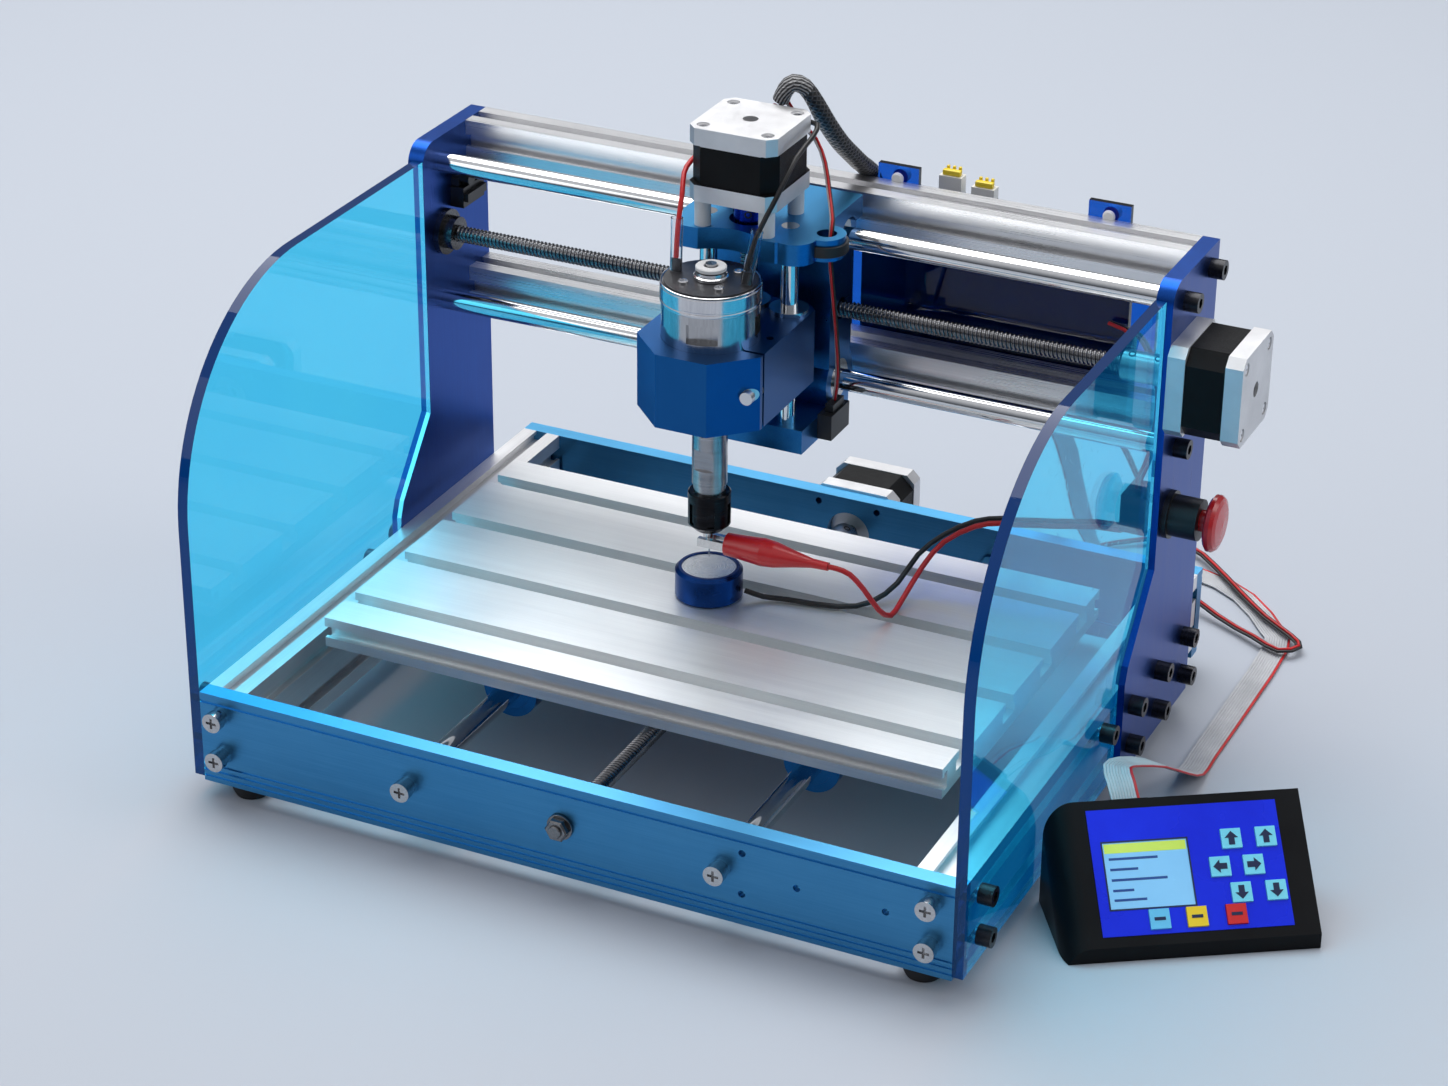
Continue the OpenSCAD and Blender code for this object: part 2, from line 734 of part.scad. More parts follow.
module stop_button() {
  x0 = half_w + plate_t + stop_out + stop_travel + 0.5;
  color("red") translate([0, stop_y, stop_z]) {
    bar_x(half_w, 0, 0, stop_stem_r, x0 - half_w + 1);
    translate([x0, 0, 0]) rotate([0, 90, 0]) rotate_extrude()
      polygon([[0, 0], [stop_r - 1.5, 0], [stop_r, 1.2], [stop_r, 3], [stop_r - 1.2, 4.6],
        [stop_r - 3.5, 5.4], [0, 6]]);
  }
}

// ---------- bed ----------

module bed_section() {
  difference() {
    translate([bed_y - bed_d / 2, bed_z]) square([bed_d, bed_t]);
    for (dy = bed_slots)
      translate([bed_y + dy, bed_top]) slot_cut(bed_slot_w, bed_lip, bed_pocket_w, bed_pocket_h);
    for (s = [-1, 1]) translate([bed_y + s * bed_d / 2, bed_z + bed_t / 2])
      rotate(-90 * s) slot_cut(5.5, 2, 8.5, 3.5);
  }
}

module bed() {
  color("silver") along_x(-bed_w / 2, bed_w) bed_section();
}

module bed_block() {
  low = mid_z - bush_r - 4;
  difference() {
    union() {
      translate([-block_w / 2, -block_l / 2, mid_z]) cube([block_w, block_l, bed_z - mid_z - seam]);
      bar_y(0, -block_l / 2, mid_z, mid_z - low, block_l);
    }
    bar_y(0, -block_l, mid_z, bush_r + seam, 2 * block_l);
  }
  translate([0, -block_l / 2, mid_z]) rotate([90, 0, 0]) translate([0, 0, -block_l])
    ring(bush_r, rod_r + run_gap, block_l);
}

module bed_blocks_and_nut() {
  color("royalblue") {
    for (sx = [-1, 1], sy = [-1, 1]) translate([sx * y_rod_x, bed_y + sy * block_dy, 0]) bed_block();
    translate([0, bed_y, 0]) {
      difference() {
        translate([-15, -8, mid_z - 10]) cube([30, 16, bed_z - mid_z + 10 - seam]);
        bar_y(0, -9, mid_z, z_nut_r + seam, 18);
      }
      translate([0, -10, mid_z]) rotate([90, 0, 0]) translate([0, 0, -24]) difference() {
        union() {
          cylinder(r = z_nut_r, h = 24);
          cylinder(r = 9, h = 3.9);
        }
        translate([0, 0, -1]) cylinder(r = screw_d / 2 + run_gap, h = 26);
      }
    }
  }
}

module height_probe() {
  translate([carriage_x, spindle_y, bed_top]) {
    color("navy") difference() {
      rotate_extrude() polygon([[0, 0], [probe_d / 2 - 1, 0], [probe_d / 2, 1],
        [probe_d / 2, probe_h - 1.5], [probe_d / 2 - 1.5, probe_h], [0, probe_h]]);
      translate([0, 0, 3]) cylinder(r = probe_d / 2 - 3, h = probe_h);
    }
    color("silver") translate([0, 0, 3 + seam])
      cylinder(r = probe_d / 2 - 3 - seam, h = probe_h - 3 - 0.5);
  }
}

// ---------- carriage ----------

// The carriage's section in Y and Z: two bushing housings on one web
module carriage_section() {
  union() {
    for (z = x_rod_zs) translate([gantry_y, z]) circle(r = house_r);
    translate([web_front, x_rod_zs[1]]) square([web_rear - web_front, 2 * x_rod_rise]);
    translate([z_axis_y - 8, low_deck_z])
      square([gantry_y - z_axis_y + 8 + house_r - 4, low_deck_top - low_deck_z]);
  }
}

module top_deck_outline() {
  front = z_axis_y - 21;
  rear = gantry_y + house_r;
  difference() {
    union() {
      polygon([[-carriage_w / 2, rear], [-carriage_w / 2, front + 18], [-carriage_w / 2 + 7, front],
        [22, front], [34, front + 8], [34, rear]]);
      translate([27, front + 10]) circle(r = 10);
      translate([lobe_x, lobe_y]) circle(r = 9.5);
    }
    translate([0, spindle_y]) circle(r = can_r + 1.6);
    translate([0, z_axis_y]) circle(r = coupler_d / 2 + 2);
    translate([lobe_x + 1, lobe_y]) circle(r = 4.5);
    for (sx = [-1, 1]) translate([sx * z_rod_x, z_axis_y]) circle(r = z_rod_d / 2 + seam);
  }
}

module carriage_body() {
  color("royalblue") translate([carriage_x, 0, 0]) difference() {
    union() {
      along_x(-carriage_w / 2, carriage_w) carriage_section();
      translate([0, 0, top_deck_z]) linear_extrude(deck_t) top_deck_outline();
    }
    for (z = x_rod_zs) bar_x(-carriage_w, gantry_y, z, bush_r + seam, 2 * carriage_w);
    bar_x(-carriage_w, gantry_y, x_screw_z, z_nut_r + seam, 2 * carriage_w);
    for (sx = [-1, 1]) bar_z(sx * z_rod_x, z_axis_y, low_deck_z - 1, z_rod_d / 2 + seam, 20);
    bar_z(0, z_axis_y, low_deck_z - 1, screw_d / 2 + run_gap, 20);
    for (sx = [-1, 1]) bar_z(sx * z_rod_x, z_axis_y, top_deck_z - 1, z_rod_d / 2 + seam, deck_t + 2);
  }
}

module x_bushings_and_nut() {
  length = carriage_w / 2 - 2;
  color("silver") translate([carriage_x, gantry_y, 0]) {
    for (z = x_rod_zs, x = [-carriage_w / 2, 2])
      translate([x, 0, z]) rotate([0, 90, 0]) ring(bush_r, rod_r + run_gap, length);
    translate([-carriage_w / 2 - 4, 0, x_screw_z]) rotate([0, 90, 0]) difference() {
      union() {
        cylinder(r = z_nut_r, h = 22);
        cylinder(r = 9, h = 4 - seam);
      }
      translate([0, 0, -1]) cylinder(r = screw_d / 2 + run_gap, h = 24);
    }
  }
}

module z_rods() {
  color("lightgray") for (sx = [-1, 1])
    bar_z(carriage_x + sx * z_rod_x, z_axis_y, low_deck_z, z_rod_d / 2, top_deck_top - low_deck_z);
}

module motor_standoffs() {
  color("white") for (sx = [-1, 1], sy = [-1, 1])
    translate([carriage_x + sx * motor_hole_pitch / 2, z_axis_y + sy * motor_hole_pitch / 2,
      top_deck_top]) ring(3.7, 1.6, standoff_h);
}

module z_motor() {
  color("silver") translate([carriage_x, z_axis_y, motor_z]) mirror([0, 0, 1]) stepper();
}

module z_limit_switch() {
  color("black") translate([carriage_x + carriage_w / 2, z_axis_y + 9, low_deck_z + 1]) {
    translate([seam, 0, 0]) cube([7, 20, 12]);
    translate([2, 4, 12]) cube([4, 12, 4]);
  }
}

// ---------- spindle ----------

module clamp_outline() {
  side = clamp_half * tan(22.5);
  difference() {
    union() {
      polygon([
        [-side, -clamp_half], [side, -clamp_half], [clamp_half, -side], [clamp_half, clamp_rear - 5],
        [clamp_half - 5, clamp_rear], [-clamp_half + 5, clamp_rear], [-clamp_half, clamp_rear - 5],
        [-clamp_half, -side]
      ]);
    }
    circle(r = can_r + seam);
    translate([can_r - 3, -10]) square([clamp_half, 1.6]);
    for (sx = [-1, 1]) translate([sx * z_rod_x, spindle_setoff]) circle(r = z_bush_d / 2 + seam);
    translate([0, spindle_setoff]) circle(r = z_nut_r + seam);
  }
}

module spindle_clamp() {
  screw_x = clamp_half - 3.4;
  head_y = -screw_x * 0.62;
  color("mediumblue") translate([carriage_x, spindle_y, clamp_z]) difference() {
    linear_extrude(clamp_h) clamp_outline();
    bar_y(screw_x, -clamp_half, clamp_h / 2, 1.7, clamp_half + 4);
    bar_y(screw_x, -clamp_half - 10, clamp_h / 2, 3.3, clamp_half + 10 + head_y);
    for (sx = [-1, 1]) translate([sx * (clamp_half - 5), 8, clamp_h - 6]) cylinder(r = 1.7, h = 7);
  }
  color("silver") translate([carriage_x + screw_x, spindle_y, clamp_z + clamp_h / 2]) {
    bar_y(0, head_y - 3.5, 0, 3, 3.5);
    bar_y(0, head_y, 0, 1.6, 14);
  }
}

module z_bushings_and_nut() {
  color("silver") translate([carriage_x, z_axis_y, clamp_z]) {
    for (sx = [-1, 1]) translate([sx * z_rod_x, 0, 0]) difference() {
      union() {
        translate([0, 0, 4]) cylinder(r = z_bush_d / 2, h = clamp_h - 4);
        translate([0, 0, clamp_h + seam]) cylinder(r = z_bush_d / 2 + 1.5, h = 2);
      }
      cylinder(r = z_rod_d / 2 + run_gap, h = clamp_h + 4);
    }
    difference() {
      union() {
        translate([0, 0, clamp_h - 18]) cylinder(r = z_nut_r, h = 19);
        translate([0, 0, clamp_h + seam]) cylinder(r = 10, h = 2.4);
      }
      cylinder(r = screw_d / 2 + run_gap, h = clamp_h + 8);
    }
  }
}

module spindle_can() {
  color("silver") translate([carriage_x, spindle_y, can_z]) difference() {
    cylinder(r = can_r, h = can_l);
    translate([0, 0, -1]) cylinder(r = shaft_d / 2 + 0.4, h = can_l + 2);
    translate([0, 0, can_l - 3]) cylinder(r = can_r - 1.2, h = 4);
    for (a = [15:90:360]) rotate(a) translate([can_r - 4, -7, can_l - 22]) cube([6, 14, 9]);
  }
}

module spindle_cap() {
  color("black") translate([carriage_x, spindle_y, can_top - 3]) {
    difference() {
      union() {
        cylinder(r = can_r - 1.2 - seam, h = 4);
        cylinder(r = 6.5, h = 8);
      }
      translate([0, 0, -1]) cylinder(r = shaft_d / 2 + 0.4, h = 10);
      for (sx = [-1, 1]) translate([sx * terminal_x - 2.5, -0.45, 1]) cube([5, 0.9, 6]);
    }
    for (sx = [-1, 1]) translate([sx * terminal_x - 2.4, -0.4, 1.05]) cube([4.8, 0.8, 9]);
  }
}

module collet_shaft() {
  collet_top = can_z - 0.5;
  collet_r = collet_d / 2;
  low = nut_z + 4;
  color("gray") translate([carriage_x, spindle_y, 0]) difference() {
    union() {
      translate([0, 0, low]) cylinder(r = collet_r - 0.6, h = nut_top - low + 5);
      translate([0, 0, nut_top + 4]) cylinder(r = collet_r, h = collet_top - nut_top - 4);
      translate([0, 0, collet_top - 1]) cylinder(r = shaft_d / 2, h = can_top + 9 - collet_top);
    }
    bar_z(0, 0, low - 1, bit_r + seam, 22);
    for (s = [-1, 1])
      translate([-collet_r, s * (collet_r + 4.4) - 6, nut_top + 12]) cube([2 * collet_r, 12, 10]);
    bar_y(0, -collet_r - 1, collet_top - 8, 1.5, 6);
  }
}

module collet_nut() {
  color("black") translate([carriage_x, spindle_y, nut_z]) difference() {
    rotate_extrude() polygon([[0, 0], [nut_d / 2 - 3, 0], [nut_d / 2, 3],
      [nut_d / 2, nut_l - 0.6], [nut_d / 2 - 0.6, nut_l], [0, nut_l]]);
    translate([0, 0, -1]) cylinder(r = bit_r + seam, h = nut_l + 2);
    translate([0, 0, 4 - seam]) cylinder(r = collet_d / 2 - 0.6 + seam, h = nut_l);
    for (a = [0:60:359]) rotate(a) translate([nut_d / 2 - 0.8, -1.5, 4]) cube([2, 3, nut_l - 9]);
  }
}

module cutting_bit() {
  color("dimgray") translate([carriage_x, spindle_y, bit_z]) rotate_extrude()
    polygon([[0, 0], [0.3, 0], [0.4, 4], [bit_r, 6], [bit_r, nut_z - bit_z + 18],
      [0, nut_z - bit_z + 18]]);
}

module clip_jaws() {
  inside = bit_r + clip_gap;
  color("silver") translate([carriage_x, spindle_y, clip_z]) {
    for (s = [-1, 1]) translate([-4, s > 0 ? inside : -inside - jaw_t, -2])
      cube([boot_x + 13, jaw_t, 4]);
    translate([boot_x + 7, -inside - jaw_t, -2]) cube([5, 2 * inside + 2 * jaw_t, 4]);
  }
}

module clip_boot() {
  h = 5.3;
  color("red") translate([carriage_x + boot_x, spindle_y, clip_z]) rotate([0, 90, 0]) difference() {
    rotate_extrude() polygon([[0, 0], [h, 0], [h + 0.4, 8], [h + 1.2, 18], [h + 0.6, 24], [h - 1.6, 34],
      [2.2, 42], [1.9, boot_l], [0, boot_l]]);
    translate([-2.1, -bit_r - clip_gap - jaw_t - 0.1, -1])
      cube([4.2, 2 * (bit_r + clip_gap + jaw_t + 0.1), 14.5]);
  }
}

// ---------- drive lines ----------

module x_screw() {
  middle = half_w - 1 - coupler_l / 2;
  color("dimgray") translate([middle, gantry_y, x_screw_z]) rotate([0, 90, 0])
    drive_line(middle - 1 + half_w, plate_t + motor_l + half_w - middle - 4);
}

module y_screw() {
  middle = y_rear - rail_t - 1 - coupler_l / 2;
  nut_y = y_front - 6.5;
  color("dimgray") {
    translate([0, middle, mid_z]) rotate([-90, 0, 0])
      drive_line(middle - 1 - y_front - rail_t - 0.3, y_rear + motor_l - middle - 4);
    bar_y(0, nut_y, mid_z, 3, rail_t + 6.9);
    translate([0, y_front - 0.3, mid_z]) rotate([90, 0, 0]) cylinder(r = 5.4, h = 5, $fn = 6);
    bar_y(0, y_front - 1.5, mid_z, 6, 1.2);
  }
}

module z_screw() {
  middle = motor_z - 1.5 - coupler_l / 2 - pilot_h;
  color("dimgray") translate([carriage_x, z_axis_y, middle])
    drive_line(middle - 1 - low_deck_z, motor_z + motor_l - middle - 4);
}

// ---------- pendant ----------

// Stands on the floor, its front left corner at the origin
module pendant_place() {
  translate([pendant_x, pendant_y, 0]) rotate(pendant_turn) children();
}

// Lies on the sloping face: X along its front edge, Y up the slope, Z out of it
module pendant_face() {
  pendant_place() translate([0, 0, pendant_h]) rotate([pendant_slope, 0, 0]) children();
}

// The pendant's outline across its sloping face, with a round left grip, drawn in by w
module pendant_across(w) {
  low = 2 * pendant_back;
  union() {
    translate([w, -low]) square([pendant_w - 2 * w, low - grip_r]);
    translate([grip_r, -grip_r - 1]) square([pendant_w - w - grip_r, grip_r + 1 - w]);
    translate([grip_r, -grip_r]) circle(r = grip_r - w);
  }
}

// The wedge under the sloping face, drawn in by w with its top lowered by drop
module pendant_wedge(w, drop) {
  intersection() {
    along_x(w, pendant_w - 2 * w) polygon([
      [w, -1], [pendant_deep - w, -1], [pendant_deep - w, pendant_back + 1], [w, pendant_back + 1]
    ]);
    translate([0, 0, pendant_h]) rotate([pendant_slope, 0, 0]) translate([0, 0, -drop])
      along_y(-pendant_d, 3 * pendant_d) pendant_across(w);
  }
}

module pendant_case() {
  recess = 0.8;
  color("black") {
    difference() {
      pendant_place() difference() {
        intersection() {
          pendant_wedge(0, 0);
          cube([pendant_w, pendant_deep, pendant_back]);
        }
        pendant_wedge(pendant_wall, recess);
      }
      pendant_face() {
        translate([panel_x - seam, panel_y - seam, -recess])
          cube([panel_w + 2 * seam, panel_d + 2 * seam, 5]);
        for (k = keys) translate([k[0], k[1], -5]) key_block(key_w + 2 * key_gap, 10);
      }
    }
    pendant_place() {
      intersection() {
        pendant_wedge(pendant_wall + 0.1, recess + 0.1);
        cube([pendant_w, pendant_deep, 2]);
      }
      translate([29, pendant_deep + seam, pendant_back - 12]) cube([17, 5, 9]);
    }
  }
}

module key_block(w, h) {
  translate([-w / 2, -w / 2, 0]) cube([w, w, h]);
}

// The tabs at a key's foot, to its left and right
module key_tabs() {
  translate([-key_w / 2 - key_skirt, -key_w / 2, 0]) cube([key_w + 2 * key_skirt, key_w, flange_t]);
}

module pendant_panel() {
  color("blue") pendant_face() difference() {
    translate([panel_x, panel_y, -0.8 + seam]) cube([panel_w, panel_d, 1]);
    for (k = keys) translate([k[0], k[1], -5]) key_block(key_w + 2 * key_gap, 10);
    translate([panel_x + 0.058 * panel_w, panel_y + 0.205 * panel_d, 0])
      cube([0.45 * panel_w, 0.535 * panel_d, 1]);
  }
}

// A key's cap through the face and the flange that holds it in
module key(i) {
  under = -0.8 - pendant_wall - seam;
  pendant_face() translate([keys[i][0], keys[i][1], 0]) {
    translate([0, 0, under - flange_t]) key_block(key_w, key_rise - under + flange_t);
    translate([0, 0, under - flange_t]) key_tabs();
  }
}

module key_up() {
  color("cyan") key(0);
}

module key_raise() {
  color("cyan") key(1);
}

module key_left() {
  color("cyan") key(2);
}

module key_right() {
  color("cyan") key(3);
}

module key_down() {
  color("cyan") key(4);
}

module key_lower() {
  color("cyan") key(5);
}

module key_blue() {
  color("blue") key(6);
}

module key_yellow() {
  color("yellow") key(7);
}

module key_red() {
  color("red") key(8);
}

// ---------- cords ----------

module pendant_ribbon() {
  color("gray") swept(ribbon_path, 12.7, 1.2);
}

module motor_lead() {
  color("dimgray") swept(motor_path, 4, 3);
}

module clip_lead() {
  color("red") swept(clip_path, 2.6, 2.6);
}

module probe_lead() {
  color("black") swept(probe_path, 2.6, 2.6);
}

module spindle_wires() {
  color("red") swept(red_path, 2.4, 2.4);
  color("black") swept(black_path, 2.4, 2.4);
}

module switch_wires() {
  color("black") swept(switch_path, 2.4, 2.4);
}

module cable_sleeve() {
  color("dimgray") swept(sleeve_path, 11, 4.5);
}

module stop_harness() {
  color("black") swept(stop_path, 3.6, 3.6);
}

front_rail();
rear_rail();
side_profiles();
left_plate();
right_plate();
side_baffles();
gantry_beams();
x_rods();
y_rods();
feet();
rail_screws();
cap_screws();
end_bearing();
x_motor();
y_motor();
controller_cover();
controller_board();
x_limit_switch();
stop_body();
stop_button();
bed();
bed_blocks_and_nut();
height_probe();
carriage_body();
x_bushings_and_nut();
z_rods();
motor_standoffs();
z_motor();
z_limit_switch();
spindle_clamp();
z_bushings_and_nut();
spindle_can();
spindle_cap();
collet_shaft();
collet_nut();
cutting_bit();
clip_jaws();
clip_boot();
x_screw();
y_screw();
z_screw();
pendant_case();
pendant_panel();
key_up();
key_raise();
key_left();
key_right();
key_down();
key_lower();
key_blue();
key_yellow();
key_red();
pendant_ribbon();
motor_lead();
clip_lead();
probe_lead();
spindle_wires();
switch_wires();
cable_sleeve();
stop_harness();
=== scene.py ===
import math

import bmesh
import bpy
from mathutils import Matrix, Vector


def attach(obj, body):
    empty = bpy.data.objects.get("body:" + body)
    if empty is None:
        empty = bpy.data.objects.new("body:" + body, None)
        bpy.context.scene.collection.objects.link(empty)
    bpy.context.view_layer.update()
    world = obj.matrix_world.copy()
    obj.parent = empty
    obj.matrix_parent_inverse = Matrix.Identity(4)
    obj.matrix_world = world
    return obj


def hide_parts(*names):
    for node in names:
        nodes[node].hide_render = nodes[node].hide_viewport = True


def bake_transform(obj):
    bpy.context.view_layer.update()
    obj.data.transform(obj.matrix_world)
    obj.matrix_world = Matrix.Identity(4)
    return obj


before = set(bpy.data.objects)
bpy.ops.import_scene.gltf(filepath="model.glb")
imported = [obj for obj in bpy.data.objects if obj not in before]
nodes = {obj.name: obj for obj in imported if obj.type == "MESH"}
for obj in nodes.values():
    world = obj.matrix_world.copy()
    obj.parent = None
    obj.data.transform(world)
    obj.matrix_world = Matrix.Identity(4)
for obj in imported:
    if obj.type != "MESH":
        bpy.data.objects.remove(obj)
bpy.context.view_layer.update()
scene = bpy.context.scene
mm = 0.001
print("frame loaded:", len(nodes), "nodes")

# camera
cameraPlace = {
    "position": (0.6093, -1.2874, 0.8333),
    "azimuth": 25.24,
    "elevation": 27.35,
    "roll": 0.52,
    "lens": 88.26,
}


def addCamera(place):
    turn, drop, roll = (math.radians(place[k]) for k in ("azimuth", "elevation", "roll"))
    look = Vector((-math.sin(turn) * math.cos(drop), math.cos(turn) * math.cos(drop), -math.sin(drop)))
    level = Vector((math.cos(turn), math.sin(turn), 0))
    right = level * math.cos(roll) + level.cross(look) * math.sin(roll)
    up = right.cross(look)
    data = bpy.data.cameras.new("viewCamera")
    data.sensor_fit, data.sensor_width, data.lens = "HORIZONTAL", 36, place["lens"]
    data.clip_start, data.clip_end = 0.05, 30
    camera = bpy.data.objects.new("viewCamera", data)
    scene.collection.objects.link(camera)
    camera.matrix_world = Matrix(
        ((right.x, up.x, -look.x), (right.y, up.y, -look.y), (right.z, up.z, -look.z))
    ).to_4x4()
    camera.location = place["position"]
    scene.camera = camera


addCamera(cameraPlace)
print("camera placed")


# helpers for new pieces
def pieceFrom(name, bm, body=None, smooth=35, materials=()):
    bmesh.ops.recalc_face_normals(bm, faces=bm.faces[:])
    mesh = bpy.data.meshes.new(name)
    bm.to_mesh(mesh)
    bm.free()
    for m in materials:
        mesh.materials.append(m)
    piece = bpy.data.objects.new(name, mesh)
    scene.collection.objects.link(piece)
    if smooth:
        mesh.shade_smooth()
        mesh.set_sharp_from_angle(angle=math.radians(smooth))
    if body:
        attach(piece, body)
    return piece


def addPart(name, bm, body, smooth, material):
    pieceFrom(name, bm, body, smooth, [material])


def edgesOf(verts):
    # each edge once, always in the same order
    return list(dict.fromkeys(e for v in verts for e in v.link_edges))


def addBlock(bm, low, high, bevel):
    size = Vector(high) - Vector(low)
    place = Matrix.Translation((Vector(low) + Vector(high)) / 2 * mm) @ Matrix.Diagonal((*size * mm, 1))
    made = bmesh.ops.create_cube(bm, size=1, matrix=place)["verts"]
    bmesh.ops.bevel(
        bm, geom=edgesOf(made), offset=bevel * mm, offset_type="OFFSET", affect="EDGES", segments=2,
        profile=0.5, material=-1, clamp_overlap=True,
    )


def addTurned(bm, profile, place, steps=32, closed=False):
    # profile is (radius, height) from the foot up, turned about the local Z
    before = set(bm.verts)
    line = [bm.verts.new((r * mm, 0, h * mm)) for r, h in profile]
    edges = [bm.edges.new(pair) for pair in zip(line, line[1:] + line[:1] if closed else line[1:])]
    bmesh.ops.spin(
        bm, geom=line + edges, cent=(0, 0, 0), axis=(0, 0, 1), angle=math.tau, steps=steps, use_merge=True
    )
    bmesh.ops.remove_doubles(bm, verts=[v for v in bm.verts if v not in before], dist=1e-7)
    bmesh.ops.transform(bm, matrix=place, verts=[v for v in bm.verts if v not in before])


def along(axis, point):
    # a frame at a point in mm whose Z runs along the axis
    axis = Vector(axis).normalized()
    return Matrix.Translation(Vector(point) * mm) @ axis.to_track_quat("Z", "Y").to_matrix().to_4x4()


def addPlate(bm, outline, low, high, place):
    # an outline in mm, drawn out from low to high along the local Z
    verts = [bm.verts.new((x * mm, y * mm, low * mm)) for x, y in outline]
    face = bm.faces.new(verts)
    risen = bmesh.ops.extrude_face_region(bm, geom=[face])["geom"]
    up = [g for g in risen if isinstance(g, bmesh.types.BMVert)]
    bmesh.ops.translate(bm, vec=(0, 0, (high - low) * mm), verts=up)
    bmesh.ops.transform(bm, matrix=place, verts=verts + up)


# cords: the same routes as their solids
def smoothRoute(points, steps=2):
    p = [Vector(q) * mm for q in points]
    p = [p[0] * 2 - p[1]] + p + [p[-1] * 2 - p[-2]]
    route = []
    for a, b, c, d in zip(p, p[1:], p[2:], p[3:]):
        for i in range(steps):
            t = i / steps
            steady, bent = a * 2 - b * 5 + c * 4 - d, b * 3 - a - c * 3 + d
            route.append((b * 2 + (c - a) * t + steady * t ** 2 + bent * t ** 3) / 2)
    return route + [p[-2]]


def routeFrames(route):
    frames = []
    for i, point in enumerate(route):
        run = (route[min(i + 1, len(route) - 1)] - route[max(i - 1, 0)]).normalized()
        level = run.cross(Vector((0, 1, 0)) if abs(run.z) > 0.96 else Vector((0, 0, 1))).normalized()
        if frames and level.dot(frames[-1].col[0].to_3d()) < 0:
            level = -level
        turned = Matrix((level, level.cross(run), run)).transposed().to_4x4()
        frames.append(Matrix.Translation(point) @ turned)
    return frames


def addStrand(bm, frames, width, height, sides, offset, material):
    # the "run" attribute holds the side it faces and the length along, for the cord finishes
    run = bm.verts.layers.float_vector.get("run") or bm.verts.layers.float_vector.new("run")
    ring = bmesh.ops.create_circle(bm, cap_ends=False, radius=0.5 * mm, segments=sides)["verts"]
    for v in ring:
        v[run] = (v.co.x / (0.5 * mm), 0, v.co.y / (0.5 * mm))
        v.co = Vector((v.co.x * width + offset[0] * mm, v.co.y * height + offset[1] * mm, 0))
    edges = edgesOf(ring)
    bmesh.ops.transform(bm, matrix=frames[0], verts=ring)
    first, made, gone = edges[:], [], 0
    for a, b in zip(frames, frames[1:]):
        gone += (b.translation - a.translation).length
        grown = bmesh.ops.extrude_edge_only(bm, edges=edges)["geom"]
        verts = [g for g in grown if isinstance(g, bmesh.types.BMVert)]
        edges = [g for g in grown if isinstance(g, bmesh.types.BMEdge)]
        edges = [e for e in edges if all(v in verts for v in e.verts)]
        made += [g for g in grown if isinstance(g, bmesh.types.BMFace)]
        bmesh.ops.transform(bm, matrix=b @ a.inverted(), verts=verts)
        for v in verts:
            v[run] = (v[run].x, gone, v[run].z)
    made += bmesh.ops.edgeloop_fill(bm, edges=first)["faces"]
    made += bmesh.ops.edgeloop_fill(bm, edges=edges)["faces"]
    for f in made:
        f.material_index = material


